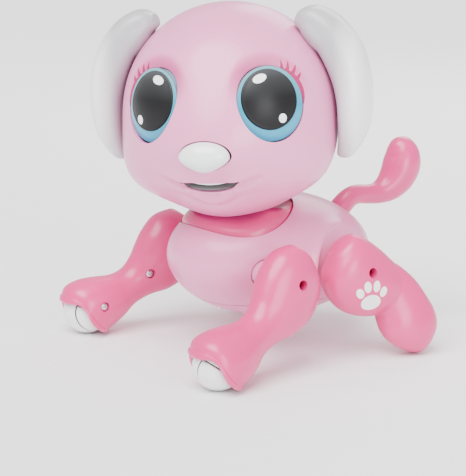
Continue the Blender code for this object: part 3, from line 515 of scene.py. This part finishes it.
def tree_of(obj):
    """A search tree of an unplaced object's surface, in metres."""
    shape = bmesh.new()
    shape.from_mesh(obj.data)
    tree = BVHTree.FromBMesh(shape)
    shape.free()
    return tree


def print_on(tree, outlines, to_surface, direction, lift=0.12, depth=0.3):
    """Thin raised prints: grids of 2-D points pressed on a surface."""
    shape = bmesh.new()
    for rows in outlines:
        grid = []
        for row in rows:
            hits = [tree.ray_cast(to_surface(point) * MM, direction) for point in row]
            grid.append([shape.verts.new(hit[0] / MM + hit[1] * lift) for hit in hits])
        for first, second in zip(grid, grid[1:]):
            for k in range(len(first) - 1):
                shape.faces.new((first[k], first[k + 1], second[k + 1], second[k]))
    bmesh.ops.remove_doubles(shape, verts=shape.verts, dist=0.002)
    bmesh.ops.recalc_face_normals(shape, faces=shape.faces)
    for face in shape.faces:
        if face.normal.dot(direction) > 0:
            face.normal_flip()
    return wall(solid(shape), depth)


def disc_rows(centre, half, tilt=0.0):
    """Rows of points that fill an ellipse, from its middle outwards."""
    rows = []
    for share in [ring / 6 for ring in range(7)]:
        row = []
        for angle in turns(28) + [tau]:
            x, y = share * half[0] * cos(angle), share * half[1] * sin(angle)
            row.append((centre[0] + x * cos(tilt) - y * sin(tilt), centre[1] + x * sin(tilt) + y * cos(tilt)))
        rows.append(row)
    return rows


# ---- Head ----
def bump(azimuth, elevation, feature):
    at_azimuth, at_elevation, height, width, tallness = feature
    return height * exp(-((azimuth - at_azimuth) / width) ** 2 / 2
                        - ((elevation - at_elevation) / tallness) ** 2 / 2)


def head_radius(direction):
    azimuth = abs(degrees(atan2(direction.x, -direction.y)))
    elevation = degrees(asin(max(-1.0, min(1.0, direction.z))))
    return HEAD_RADIUS + sum(bump(azimuth, elevation, feature) for feature in (MUZZLE, CHEEK, CHIN, NAPE))


def eye_frame(side):
    """The eye's matrix in the head, in millimetres: +Z out of the head, +Y up the face."""
    outward = direction_at(side * EYE_AZIMUTH, EYE_ELEVATION)
    across = Vector((0.0, 0.0, 1.0)).cross(outward).normalized()
    up = outward.cross(across)
    turn = Matrix((across, up, outward)).transposed().to_4x4()
    return Matrix.Translation(outward * (head_radius(outward) + EYE_PROUD)) @ turn


EYE_FRAMES = {side: eye_frame(side) for side in SIDES.values()}
EYE_INVERSES = {side: matrix.inverted() for side, matrix in EYE_FRAMES.items()}


def head_place(matrix):
    """The world matrix of a place in the head, from its matrix in millimetres."""
    return HEAD_FRAME @ Matrix.Translation(matrix.translation * MM) @ matrix.to_3x3().to_4x4()


def line_distance(x, z, line):
    """How far (x, z) is from a line of points, and how far along the line it is, from 0 to 1."""
    best = (1e9, 0.0)
    for index, ((ax, az), (bx, bz)) in enumerate(zip(line, line[1:])):
        dx, dz = bx - ax, bz - az
        t = max(0.0, min(1.0, ((x - ax) * dx + (z - az) * dz) / (dx * dx + dz * dz)))
        best = min(best, (hypot(x - ax - t * dx, z - az - t * dz), (index + t) / (len(line) - 1)))
    return best


def smooth_step(value, low, high):
    t = max(0.0, min(1.0, (value - low) / (high - low)))
    return t * t * (3.0 - 2.0 * t)


def lid_recess(point):
    """The soft recess over each eye: deepest along the eye's rim, with a fairly clear upper edge."""
    depth = 0.0
    for side, inverse in EYE_INVERSES.items():
        local = inverse @ point
        if local.z < -18.0:
            continue
        u, v = side * local.x / EYE_HALF[0], local.y / EYE_HALF[1]
        rho, angle = hypot(u, v), degrees(atan2(v, u))
        if rho > 1.7 or angle < -60.0 and angle > -170.0:
            continue
        angle = angle + 360.0 if angle < -90.0 else angle
        crescent = smooth_step(angle, -5.0, 70.0) * (1.0 - smooth_step(angle, 110.0, 200.0))
        edge = 1.0 + LID_REACH * (0.25 + 0.75 * crescent)
        depth = max(depth, crescent * LID_DEPTH * (1.0 - smooth_step(rho, 0.95, edge)))
    return depth


def mouth_folds(point):
    """Smile creases outside the mouth, and a soft V-shaped lower lip."""
    if point.y > -20.0 or point.z > -15.0:
        return 0.0
    near, along = line_distance(abs(point.x), point.z, SMILE)
    crease = -CREASE_DEPTH * (1.0 - along) ** 0.6 * exp(-(near / 1.5) ** 2)
    puff = CHEEK_PUFF * (1.0 - along) * exp(-((near - 3.2) / 2.4) ** 2) * (1.0 if point.z > -31.0 else 0.4)
    near, along = line_distance(abs(point.x), point.z, LIP)
    lip = LIP_HEIGHT * exp(-(near / 2.6) ** 2)
    if point.z < -37.0:
        lip -= LIP_GROOVE * exp(-((near - 4.6) / 2.2) ** 2)
    return crease + puff + lip * (1.0 - 0.7 * along)


def head_skin(subdivisions, detailed):
    shape = ball((1.0, 1.0, 1.0), subdivisions)
    for vertex in shape.verts:
        direction = vertex.co.normalized()
        point = direction * head_radius(direction)
        if detailed and point.y < 10.0:
            point += direction * (mouth_folds(point) - lid_recess(point))
        vertex.co = point
    return shape


MOUTH_FRAME = Matrix.Translation(MOUTH_PLACE) @ Matrix.Rotation(radians(MOUTH_TILT), 4, "X")


def mouth_outline():
    """A boat shape: a nearly straight upper lip and a rounder lower one, in the mouth's plane."""
    points = []
    for angle in turns(48):
        share, z = cos(angle), sin(angle)
        z *= UPPER_LIP if z > 0 else LOWER_LIP
        points.append((MOUTH_HALF_WIDTH * share, z + 1.2 + 1.6 * share ** 2))
    return points


def prism(outline, low, high):
    """A closed solid between two planes across Y."""
    return skin([[(x, y, z) for x, z in outline] for y in (low, high)])


def nose_width(z):
    """The nose's width at a height from -1 to 1: a shield shape, narrower at the bottom."""
    return 1.0 - NOSE_TAPER * max(0.0, -z) ** 1.5


def nose_shape():
    shape = ball((1.0, 1.0, 1.0), 5)
    for vertex in shape.verts:
        x, y, z = vertex.co
        vertex.co = (x * NOSE_HALF[0] * nose_width(z), y * NOSE_HALF[1], z * NOSE_HALF[2])
    return shape


def nose_cutter():
    outline = []
    for angle in turns(72):
        x, z = cos(angle), sin(angle)
        outline.append((x * (NOSE_HALF[0] + RECESS_GAP) * nose_width(z), z * (NOSE_HALF[2] + RECESS_GAP)))
    return place(prism(outline, -12.0, 9.0), NOSE_PLACE)


def eye_cutter(side):
    socket = stretch(rod(1.0, -14.0, 14.0, 96), (EYE_HALF[0] + RECESS_GAP, EYE_HALF[1] + RECESS_GAP, 1.0))
    socket.transform(EYE_FRAMES[side])
    return socket


def build_head_skin():
    # The deeper colour is painted shade for the recess over each eye.
    face_painted_shade_plastic = pink_with_painted_eye_shade("face_painted_shade_plastic", PINK, (0.68, 0.11, 0.31))
    mouth = prism(mouth_outline(), -9.0, 9.0)
    mouth.transform(MOUTH_FRAME)
    openings = [eye_cutter(side) for side in SIDES.values()] + [nose_cutter(), mouth]
    face = keep_side(head_skin(7, True), (0.0, HEAD_SEAM_Y - HALF_SEAM, 0.0), (0.0, 1.0, 0.0))
    back = keep_side(head_skin(6, False), (0.0, HEAD_SEAM_Y + HALF_SEAM, 0.0), (0.0, -1.0, 0.0))
    face = wall(solid(face), HEAD_WALL)
    tree = tree_of(face)
    cut_away(face, openings + [rod(HEAD_OPENING, -75.0, -40.0)])
    back = cut_away(wall(solid(back), HEAD_WALL), [rod(HEAD_OPENING, -75.0, -40.0)])
    face.data.transform(HEAD_IN_BODY)
    piece(face, "head_face", face_painted_shade_plastic, "head", ["head_face_shell"])
    piece(back, "head_back", PINK, "head", ["head_back_shell"], HEAD_FRAME)
    return tree


def ring_tube(path, radius):
    """A closed ring of round section along a closed path of points."""
    rings = []
    for k, point in enumerate(path):
        ahead = (path[(k + 1) % len(path)] - path[k - 1]).normalized()
        across = ahead.cross(point.normalized()).normalized()
        up = across.cross(ahead)
        rings.append([point + (across * cos(angle) + up * sin(angle)) * radius for angle in turns(8)])
    return skin(rings, around=True)


def sag(curve, radius):
    """The height of a sphere's face at a radius from its middle, 0 or below."""
    return sqrt(curve ** 2 - radius ** 2) - curve


def rim_path(half):
    """Points round the rim of an eye's lens, just behind its face."""
    low = sag(EYE_CURVE, half[0]) - 0.6
    return [Vector((half[0] * cos(angle), half[1] * sin(angle), low)) for angle in turns(120)]


def lens(half, curve, thickness, edge):
    """An elliptic lens with a rounded edge; the middle of its face is the origin, facing +Z."""
    inner = half[0] - edge
    profile = [(inner * ring / 14, sag(curve, inner * ring / 14)) for ring in range(15)]
    low = profile[-1][1]
    for angle in [pi / 2 * step / 5 for step in range(1, 6)]:
        profile.append((inner + edge * sin(angle), low - edge * (1.0 - cos(angle))))
    profile += [(half[0], low - thickness), (0.0, low - thickness)]
    return stretch(lathe(profile, LENS_STEPS), (1.0, half[1] / half[0], 1.0))


def lash_rows():
    """The lash line along the eye's outer rim and four curved spikes, as (rho, degrees) grids."""
    line = []
    for share in [k / 24 for k in range(25)]:
        width = 0.13 * sin(pi * share) ** 0.7 + 0.004
        line.append([(1.015 + width * step / 3, -6.0 + 70.0 * share) for step in range(4)])
    grids = [line]
    for base, tip, reach, width in LASHES:
        spike = []
        for share in [k / 10 for k in range(11)]:
            middle = base + (tip - base) * share ** 1.6
            half_width = width / 2 * (1.0 - share) ** 0.75 + 0.05
            rho = 1.04 + (reach - 1.04) * share
            spike.append([(rho, middle + half_width * (step - 1.5) / 1.5) for step in range(4)])
        grids.append(spike)
    return grids


def build_eye(name, side, tree):
    matrix = EYE_FRAMES[side]
    at = head_place(matrix)
    iris = solid(lens(EYE_HALF, EYE_CURVE, IRIS_THICKNESS, 0.5))
    piece(iris, f"iris_{name}", IRIS, "head", [f"eye_iris_{name}"], at)
    rim = solid(ring_tube(rim_path((EYE_HALF[0] + 0.05, EYE_HALF[1] + 0.05)), 0.36))
    piece(rim, f"eye_outline_{name}", OUTLINE, "head", (), at)

    def beside_rim(polar):
        rho, angle = polar[0], radians(polar[1])
        return matrix @ Vector((side * rho * EYE_HALF[0] * cos(angle), rho * EYE_HALF[1] * sin(angle), 20.0))
    lashes = print_on(tree, lash_rows(), beside_rim, -matrix.to_3x3().col[2], lift=0.15)
    piece(lashes, f"lashes_{name}", LASH, "head", (), HEAD_FRAME)


def build_pupil(name, side):
    """The pupil, set off-centre on the iris and leaning with it, and its two painted highlights."""
    offset = Vector((side * PUPIL_OFFSET[0], PUPIL_OFFSET[1], 0.0))
    height = Vector((0.0, 0.0, sag(EYE_CURVE, offset.length) + PUPIL_PROUD))
    lean = Matrix.Rotation(radians(-3.9), 4, "X") @ Matrix.Rotation(radians(-side * 1.4), 4, "Y")
    at = head_place(EYE_FRAMES[side]) @ Matrix.Translation((offset + height) * MM) @ lean
    pupil = solid(lens(PUPIL_HALF, PUPIL_CURVE, PUPIL_THICKNESS, 0.9))
    tree = tree_of(pupil)
    piece(pupil, f"pupil_{name}", PUPIL, "head", [f"eye_pupil_{name}"], at)
    # Two white spots raised on the pupil: painted highlights.
    spots = [disc_rows((-side * 4.4, 11.6), (4.1, 2.3), side * 0.32),
             disc_rows((side * 5.6, -11.2), (2.4, 2.5))]
    painted_highlight = print_on(tree, spots, lambda spot: Vector((*spot, 10.0)), Vector((0.0, 0.0, -1.0)),
                       lift=0.1, depth=0.25)
    piece(painted_highlight, f"sparkle_{name}", HIGHLIGHT_AND_TEETH_WHITE, "head", (), at)


def build_nose():
    piece(solid(nose_shape()), "nose", NOSE_WHITE_PAINTED_SHADE, "nose", ["nose_button"],
          head_place(Matrix.Translation(NOSE_PLACE)))


def build_mouth():
    """A glossy barrel-shaped insert and a row of white under the upper lip."""
    at = head_place(MOUTH_FRAME)
    insert = place(ball((15.6, 4.6, 4.4), 5), (0.0, 3.4, -0.4))
    piece(solid(insert), "mouth_insert", MOUTH, "head", ["mouth_window"], at)
    rings = []
    for x in [-13.2 + 26.4 * k / 40 for k in range(41)]:
        rise = 1.9 + 1.2 * (x / 14.0) ** 2
        half = 0.95 * sqrt(max(0.0, 1.0 - (x / 13.3) ** 2)) + 0.02
        rings.append([(x, -0.3 + 0.012 * x * x + 0.9 * cos(angle), rise + half * sin(angle))
                      for angle in turns(10)])
    piece(solid(skin(rings)), "mouth_teeth", HIGHLIGHT_AND_TEETH_WHITE, "head", (), at)


def squared(value):
    """A sine or cosine bent towards a rounded square."""
    return (abs(value) ** 0.7) * (1.0 if value > 0 else -1.0)


def ear_ring(station, side):
    outer_x, outer_z, inner_x, inner_z, depth, half_depth = station
    if half_depth < 0.01:
        return [(side * outer_x, depth, outer_z)]
    middle = Vector(((outer_x + inner_x) / 2, depth, (outer_z + inner_z) / 2))
    reach = Vector(((outer_x - inner_x) / 2, 0.0, (outer_z - inner_z) / 2))
    ring = []
    for angle in turns(48):
        point = middle + reach * squared(cos(angle)) + Vector((0.0, half_depth * squared(sin(angle)), 0.0))
        wrap = point.y / EAR_WRAP_RADIUS
        ring.append((side * point.x * cos(wrap), point.x * sin(wrap), point.z))
    return ring


def build_ear(name, side):
    """A flap that wraps round the head, with a thick lobe where it leaves the head."""
    flap = skin([ear_ring(station, side) for station in smooth_path(EAR, 7)])
    lobe_place = (side * EAR_LOBE[0], *EAR_LOBE[1:])
    lobe = place(ball(EAR_LOBE_HALF, 5), lobe_place, (0.0, side * EAR_LOBE_TURN, 0.0))
    ear = melt([solid(flap), solid(lobe)], 0.8, 5)
    piece(ear, f"ear_lobe_{name}", EAR_WHITE_PAINTED_SHADE, "head", [f"ear_{name}"], HEAD_FRAME, sharp=80.0)


# ---- Body ----
def thigh_lip(y, z):
    """Height of the raised lip round the top and front of each thigh."""
    y, z = y - THIGH_LIP[0], z - THIGH_LIP[1]
    away, angle = hypot(y, z), degrees(atan2(z, y))
    angle = angle + 360.0 if angle < -60.0 else angle
    span = smooth_step(angle, 45.0, 80.0) * (1.0 - smooth_step(angle, 200.0, 235.0))
    breadth = 1.1 if away < THIGH_LIP_RADIUS else 3.2
    return span * THIGH_LIP_HEIGHT * exp(-((away - THIGH_LIP_RADIUS) / breadth) ** 2)


def body_skin(subdivisions):
    shape = place(ball(BODY_HALF, subdivisions), BODY_CENTRE, (BODY_TILT, 0.0, 0.0))
    for vertex in shape.verts:
        if abs(vertex.co.x) > 22.0:
            vertex.co += vertex.normal * thigh_lip(vertex.co.y, vertex.co.z)
    return shape


def body_top(x, y):
    """Height of the body's upper surface."""
    across, along = x / BODY_HALF[0], (y - BODY_CENTRE[1]) / BODY_HALF[1]
    return BODY_CENTRE[2] + BODY_HALF[2] * sqrt(1.0 - across ** 2 - along ** 2)


def belly_height(y):
    return 2.0 * BODY_CENTRE[2] - body_top(0.0, y)


def belly_rod(radius, y, low, high):
    """A rod across the belly's skin, from below it to above it."""
    return place(rod(radius, low, high), (0.0, y, belly_height(y)))


def cross_rod(radius, pivot, low, high, segments=64):
    return place(rod(radius, low, high, segments), (0.0, *pivot), (0.0, 90.0, 0.0))


def body_hollow():
    return place(ball([half - BODY_WALL for half in BODY_HALF], 5), BODY_CENTRE, (BODY_TILT, 0.0, 0.0))


def build_upper_body(whole):
    """The body down to the belly seam, open for the neck, the tail and the legs' hubs."""
    neck = stretch(rod(1.0, -20.0, 40.0, 128), (*COLLAR_HALF, 1.0))
    below = place(box((90.0, 90.0, 40.0)), (0.0, 0.0, BELLY_SEAM_Z + HALF_SEAM - 40.0))
    tail_hole = place(rod(TAIL_HOLE, -9.0, 12.0), TAIL_PIVOT, (-45.0, 0.0, 0.0))
    cutters = [below, body_hollow(), place(neck, COLLAR_CENTRE), tail_hole]
    cutters += [cross_rod(HUB_HOLE, pivot, -70.0, 70.0) for pivot in (SHOULDER, HIP)]
    cut_away(whole, cutters)
    piece(whole, "body_upper", PINK, "torso", ["body_shell"])


def build_belly(whole):
    """The body under the belly seam, open for the battery door, the switch and the screws."""
    above = place(box((90.0, 90.0, 60.0)), (0.0, 0.0, BELLY_SEAM_Z - HALF_SEAM + 60.0))
    door = place(box((*DOOR_HALF, 12.0)), (0.0, DOOR_Y, 20.0))
    slot_half = (SWITCH_HALF[0] + 0.5, SWITCH_HALF[1] + SWITCH_TRAVEL / 2 + 0.5, 10.0)
    switch_slot = place(box(slot_half), (0.0, SWITCH_Y + SWITCH_TRAVEL / 2, 22.0))
    cutters = [above, body_hollow(), door, switch_slot]
    cutters += [belly_rod(SCREW_HOLE, y, -8.0, 10.0) for y in BELLY_SCREW_Y]
    cut_away(whole, cutters)
    piece(whole, "body_belly", PINK, "torso", ["belly_shell"])


def build_battery_door():
    """A curved door with raised grip bars."""
    skin_part = keep_side(body_skin(6), (0.0, 0.0, BELLY_SEAM_Z), (0.0, 0.0, 1.0))
    for axis, middle in ((0, 0.0), (1, DOOR_Y)):
        for direction in (-1, 1):
            normal = Vector()
            normal[axis] = direction
            keep_side(skin_part, normal * direction * (middle + direction * (DOOR_HALF[axis] - 0.3)), normal)
    door = cut_away(wall(solid(skin_part), 2.0), [belly_rod(DOOR_SCREW_HOLE, DOOR_SCREW_Y, -8.0, 8.0)])
    piece(door, "battery_cover", PINK, "torso", ["battery_door"])
    profile = [(0.0, 6.5), (0.55, 6.0), (0.55, -6.0), (0.0, -6.5)]
    bars = [place(lathe(profile, 16), (0.0, y, belly_height(y)), (0.0, 90.0, 0.0))
            for y in [DOOR_Y - 12.5 + 2.2 * k for k in range(5)]]
    piece(join([solid(bar) for bar in bars]), "battery_cover_grips", PINK, "torso")


def build_switch():
    """A rounded slider with three grip grooves across its face."""
    shape = box((*SWITCH_HALF, 2.5))
    bmesh.ops.bevel(shape, geom=shape.edges, offset=0.6, segments=4, affect="EDGES")
    place(shape, (0.0, SWITCH_Y, belly_height(SWITCH_Y) + 1.2))
    grooves = [cross_rod(0.28, (SWITCH_Y + step * 1.2, belly_height(SWITCH_Y) - 1.3), -3.0, 3.0, 16)
               for step in (-1, 0, 1)]
    slider = cut_away(solid(shape), grooves)
    piece(slider, "switch_slider", BLACK, "power_slider", ["power_switch"])


def build_collar():
    """A dome whose edge follows the body's skin; it stays under the head at the rear."""
    shares = [1.0 - 0.022 * step for step in range(31)]
    layers = [(1.0, -3.4), (1.0, -0.9), (0.985, -0.35)] + [(share, 0.0) for share in shares[1:]]
    layers += [(shares[-1], -3.0), (0.9, -3.6)]
    rings = [[] for _ in layers]
    for angle in turns(160):
        x, y = COLLAR_HALF[0] * cos(angle), COLLAR_HALF[1] * sin(angle)
        low = min(body_top(x, COLLAR_CENTRE[1] + y) - 0.3, COLLAR_RIM_TOP)
        rise = min(COLLAR_RISE, (HEAD_UNDERSIDE - low) / 0.59)
        for ring, (share, drop) in zip(rings, layers):
            reach = share * (1.0 - 0.6 / COLLAR_HALF[0])
            height = low + rise * max(0.0, 1.0 - share * share) ** 0.45
            ring.append((reach * x, COLLAR_CENTRE[1] + reach * y, height + drop))
    collar = solid(skin(rings, around=True))
    piece(collar, "collar", DEEP_PINK, "torso", ["neck_collar"])


def build_tail():
    path = smooth_path(TAIL, 6)
    rings = []
    for index, (y, z, radius) in enumerate(path):
        before, after = path[max(0, index - 1)], path[min(len(path) - 1, index + 1)]
        ahead = Vector((0.0, after[0] - before[0], after[1] - before[1])).normalized()
        up = Vector((0.0, -ahead.z, ahead.y))
        rings.append([Vector((0.0, y, z)) + radius * (Vector((cos(angle), 0.0, 0.0)) + up * sin(angle))
                      for angle in turns(40)])
    tail = soften(solid(skin(rings)), 6)
    piece(settle(tail), "tail_curl", DEEP_PINK, "tail", ["tail"], sharp=80.0)


# ---- Legs ----
def leg_point(station, angle, side, pivot, grow):
    """A point of the leg's skin: angle 0 is the front edge, 90 degrees the outer side, 180 the rear edge."""
    front_y, front_z, rear_y, rear_z, middle_x, outer_x, inner_x = station
    half_x = outer_x if sin(angle) > 0 else inner_x
    centre = Vector((middle_x, (front_y + rear_y) / 2, (front_z + rear_z) / 2))
    reach = Vector((0.0, (front_y - rear_y) / 2, (front_z - rear_z) / 2))
    bow = abs(sin(angle)) ** 0.9 * (1.0 if sin(angle) > 0 else -1.0)
    out = reach * cos(angle) + Vector((half_x * bow, 0.0, 0.0))
    if out.length > 1e-6:
        out += out.normalized() * grow
    point = centre + out
    return Vector((side * point.x, point.y + pivot[0], point.z + pivot[1]))


def at_position(path, position):
    """The station at a fractional position along a path."""
    index = min(int(position), len(path) - 2)
    t = position - index
    return tuple(a + (b - a) * t for a, b in zip(path[index], path[index + 1]))


def closed_leg(stations, side, pivot):
    rings = []
    for station in smooth_path(stations, 6):
        angles = turns(RING_POINTS) if station[5] > 0.01 else [0.0]
        rings.append([leg_point(station, angle, side, pivot, 0.0) for angle in angles])
    return solid(skin(rings))


def skirt_drop(angle):
    """How far the paw's edge hangs below its flat end: raised towards the front, low towards the rear."""
    turn = degrees(angle if angle <= pi else tau - angle)
    raised = smooth_step(turn, 8.0, 40.0) * (1.0 - smooth_step(turn, 45.0, 75.0))
    low = smooth_step(turn, 60.0, 95.0) * (1.0 - smooth_step(turn, 110.0, 150.0))
    return 3.2 * low - 2.6 * raised


def front_leg_shell(side):
    """The leg's skin, with a raised lip round its open paw and a hollow that the toes sit in."""
    path = smooth_path(FRONT_LEG, 8)
    last = len(path) - 1.0

    def ring(position, grow):
        station = at_position(path, position)
        share = max(0.0, 1.0 - (last - position) / SKIRT_SPAN) ** 1.5
        return [leg_point(station, angle, side, SHOULDER, grow) + SKIRT_DOWN * skirt_drop(angle) * share
                for angle in turns(RING_POINTS)]
    rings = [[leg_point(path[0], 0.0, side, SHOULDER, 0.0)]]
    rings += [ring(k * 0.5, 0.0) for k in range(1, int(2 * (last - 3.7)))]
    rings += [ring(last - back, grow) for back, grow in PAW_LIP]
    front_y, front_z, rear_y, rear_z, middle_x = at_position(path, last - PAW_LIP[-1][0])[:5]
    middle_y, middle_z = (front_y + rear_y) / 2 + SHOULDER[0], (front_z + rear_z) / 2 + SHOULDER[1]
    rings.append([(side * middle_x, middle_y, middle_z)])
    return solid(skin(rings))


def skin_x(tree, pivot, spot, side):
    """The leg's inner surface beside a screw, along X."""
    origin = Vector((side * 8.0, spot[0] + pivot[0], spot[1] + pivot[1]))
    return tree.ray_cast(origin * MM, Vector((side, 0.0, 0.0)))[0].x / MM


def phillips():
    """A cross-head screw; its top centre is the origin and it faces +Z."""
    rim = [(0.3, -0.02), (0.62, -0.14), (0.86, -0.4), (1.0, -0.85), (1.0, -1.7)]
    profile = [(0.0, 0.0)] + [(share * SCREW_RADIUS, height) for share, height in rim]
    head = solid(lathe(profile + [(1.3, -1.7), (1.3, -10.0), (0.0, -10.8)], 40))
    slots = [place(box((SCREW_RADIUS * 0.58, SCREW_RADIUS * 0.115, 0.8)), (0.0, 0.0, -0.1), (0.0, 0.0, turn))
             for turn in (0.0, 90.0)]
    return cut_away(head, slots)


def put_screw(name, node, location, direction, material, body):
    """A cross-head screw in place of a CAD screw; direction is the way its head faces."""
    facing = Vector(direction).to_track_quat("Z", "Y").to_matrix().to_4x4()
    turn = Matrix.Rotation(radians(SCREW_TURN), 4, "Z")
    at = BODY_FRAME @ Matrix.Translation(Vector(location) * MM) @ facing @ turn
    piece(new_object(name, SCREW.data.copy()), name, material, body, [node], at, sharp=30.0)


def dress_leg(shell, body, side, pivot, screws):
    """Cuts the screw wells in a leg's shell and puts the screws in."""
    tree = tree_of(shell)
    cutters = [cross_rod(SCREW_HOLE, pivot, *sorted((side * 70.6, side * 100.0)))]
    places = []
    for spot in screws:
        surface = skin_x(tree, pivot, spot, side)
        centre = (pivot[0] + spot[0], pivot[1] + spot[1])
        places.append((surface + side * 0.5, *centre))
        cutters.append(cross_rod(SCREW_HOLE, centre, *sorted((surface - side * 9.0, surface + side * 2.4))))
    cut_away(shell, cutters)
    piece(shell, f"{body}_shell", DEEP_PINK, body, [f"{body}_outer", f"{body}_inner"])
    # The pivot screw sits deep in its well; its dark crimson is painted shade.
    put_screw(f"{body}_pivot_head", f"{body}_pivot_screw", (side * 72.5, *pivot), (side, 0.0, 0.0),
              CRIMSON_PAINTED_SHADE, body)
    for index, location in enumerate(places, 1):
        put_screw(f"{body}_screw_head_{index}", f"{body}_screw_{index}", location, (-side, 0.0, 0.0),
                  STEEL, body)
    return tree


def groove(value, line):
    return exp(-((value - line) / TOE_GROOVE_WIDTH) ** 2)


def toe_shape(side, subdivisions, scale, grooved):
    """A rounded block of three toes, each parted again below its knuckle."""
    shape = ball((1.0, 1.0, 1.0), subdivisions)
    for vertex in shape.verts:
        x, y, z = vertex.co
        size = 0.965 + 0.03 * exp(-(x / 0.30) ** 2) + 0.02 * exp(-((abs(x) - 0.70) / 0.20) ** 2)
        if grooved:
            across, inner, outer = side * x, -0.52 + 0.08 * z, 0.26 + 0.30 * z
            front = 1.0 - smooth_step(y, 0.35, 0.55)
            middle = inner < across < outer
            knuckle = groove(z, 0.12 + 0.15 * across) if middle else groove(z, -0.02 - 0.1 * across)
            size -= TOE_GROOVE * front * max(groove(across, inner), groove(across, outer), knuckle)
        vertex.co = vertex.co * Vector(TOE_HALF) * size * scale
    return place(shape, (side * TOE_CENTRE[0], *TOE_CENTRE[1:]), (TOE_TILT, 0.0, 0.0))


def paw_print():
    """A plain paw print on the thigh: one pad and four toes."""
    outer_toe, inner_toe = (2.2, 3.1), (2.3, 3.3)
    return [disc_rows((-1.0, -17.0), (6.0, 4.6)),
            disc_rows((-8.4, -11.0), outer_toe, 0.5), disc_rows((-3.9, -7.6), inner_toe, 0.15),
            disc_rows((2.0, -7.8), inner_toe, -0.15), disc_rows((6.6, -11.4), outer_toe, -0.5)]


def build_front_leg(name, side):
    body = f"front_leg_{name}"
    dress_leg(front_leg_shell(side), body, side, SHOULDER, FRONT_SCREWS)
    toes = solid(toe_shape(side, 7, 1.0, True))
    piece(toes, f"toes_{name}", TOE_WHITE, body, [f"front_toes_{name}"], sharp=80.0)
    # A dark, slightly smaller copy of the toes: painted shade seen in the grooves between them.
    piece(solid(toe_shape(side, 5, 0.955, False)), f"toe_gap_shade_{name}", TOE_GAP_PAINTED_SHADE, body)


def build_hind_leg(name, side):
    body = f"hind_leg_{name}"
    leg = melt([closed_leg(THIGH, side, HIP), closed_leg(SHANK, side, HIP)], 0.7, 6)
    tree = dress_leg(leg, body, side, HIP, HIND_SCREWS)

    def beside_thigh(spot):
        return Vector((side * 110.0, HIP[0] + spot[0], HIP[1] + spot[1]))
    badge = print_on(tree, paw_print(), beside_thigh, Vector((-side, 0.0, 0.0)))
    piece(badge, f"{body}_paw_print", PRINT_WHITE, body)


def build_belly_screws():
    spots = [("belly_front_screw_head", "belly_screw_front", BELLY_SCREW_Y[0], 0.6),
             ("belly_rear_screw_head", "belly_screw_rear", BELLY_SCREW_Y[1], 0.6),
             ("cover_screw_head", "battery_door_screw", DOOR_SCREW_Y, 0.4)]
    for name, node, y, sunk in spots:
        put_screw(name, node, (0.0, y, belly_height(y) + sunk), (0.0, 0.0, -1.0), STEEL, "torso")


# ---- CAD pieces that keep their shape ----
def repaint_cad():
    finishes = {"inner": GREY, "steel": STEEL, "board": BOARD, "battery_wrap": WRAP, "gear_white": WHITE}
    slots = {entry["node"]: entry["material_slot"] for entry in frame["record"]["subparts"]}
    for node, obj in NODES.items():
        if not obj.hide_render:
            obj.data.materials.clear()
            obj.data.materials.append(PINK if node.endswith("_hub") else finishes[slots[node]])


# ---- Stage, light and camera ----
def aimed(data, location, direction):
    """A light or camera that looks along a direction."""
    obj = new_object(data.name, data)
    obj.location = location
    obj.rotation_euler = Vector(direction).to_track_quat("-Z", "Y").to_euler()
    return obj


def area_light(name, location, size, energy):
    """A soft lamp that points at the middle of the toy."""
    light = bpy.data.lights.new(name, "AREA")
    light.size = size
    light.energy = energy
    aimed(light, location, Vector((0.0, 0.0, 0.09)) - Vector(location))


def build_floor():
    shape = bmesh.new()
    bmesh.ops.create_grid(shape, x_segments=1, y_segments=1, size=6000.0)
    floor = solid(shape, "floor")
    paint = plastic("floor_paint", (0.92, 0.92, 0.92), (0.90, 0.90, 0.90), 0.7, 0.0, scale=60.0, strength=0.0)
    floor.data.materials.append(paint)


def build_lights():
    world = bpy.data.worlds.new("studio")
    world.use_nodes = True
    background = world.node_tree.nodes["Background"]
    background.inputs["Color"].default_value = (1.0, 1.0, 1.0, 1.0)
    background.inputs["Strength"].default_value = 0.95
    bpy.context.scene.world = world
    sun = bpy.data.lights.new("key", "SUN")
    sun.energy = 6.0
    sun.angle = radians(50.0)
    aimed(sun, (0.0, 0.0, 0.0), (-0.30, 0.55, -1.0))
    area_light("side", (1.25, -0.15, 0.35), 0.6, 9.0)
    area_light("back", (-0.7, 1.0, 0.9), 0.8, 8.0)


def build_camera():
    back, distance = direction_at(56.0, 12.06), 1.0288
    target = Vector((-0.00536, -0.02841, 0.06311))
    data = bpy.data.cameras.new("camera")
    data.sensor_width = 36.0
    data.lens = 132.3
    bpy.context.scene.camera = aimed(data, target + distance * back, -back)


SCREW = phillips()
head_tree = build_head_skin()
for half, direction in SIDES.items():
    build_eye(half, direction, head_tree)
    build_pupil(half, direction)
    build_ear(half, direction)
    build_front_leg(half, direction)
    build_hind_leg(half, direction)
build_nose()
build_mouth()
body = solid(body_skin(7))
build_belly(new_object("belly", body.data.copy()))
build_upper_body(body)
build_battery_door()
build_switch()
build_collar()
build_tail()
build_belly_screws()
bpy.data.objects.remove(SCREW)
repaint_cad()
build_floor()
build_lights()
build_camera()
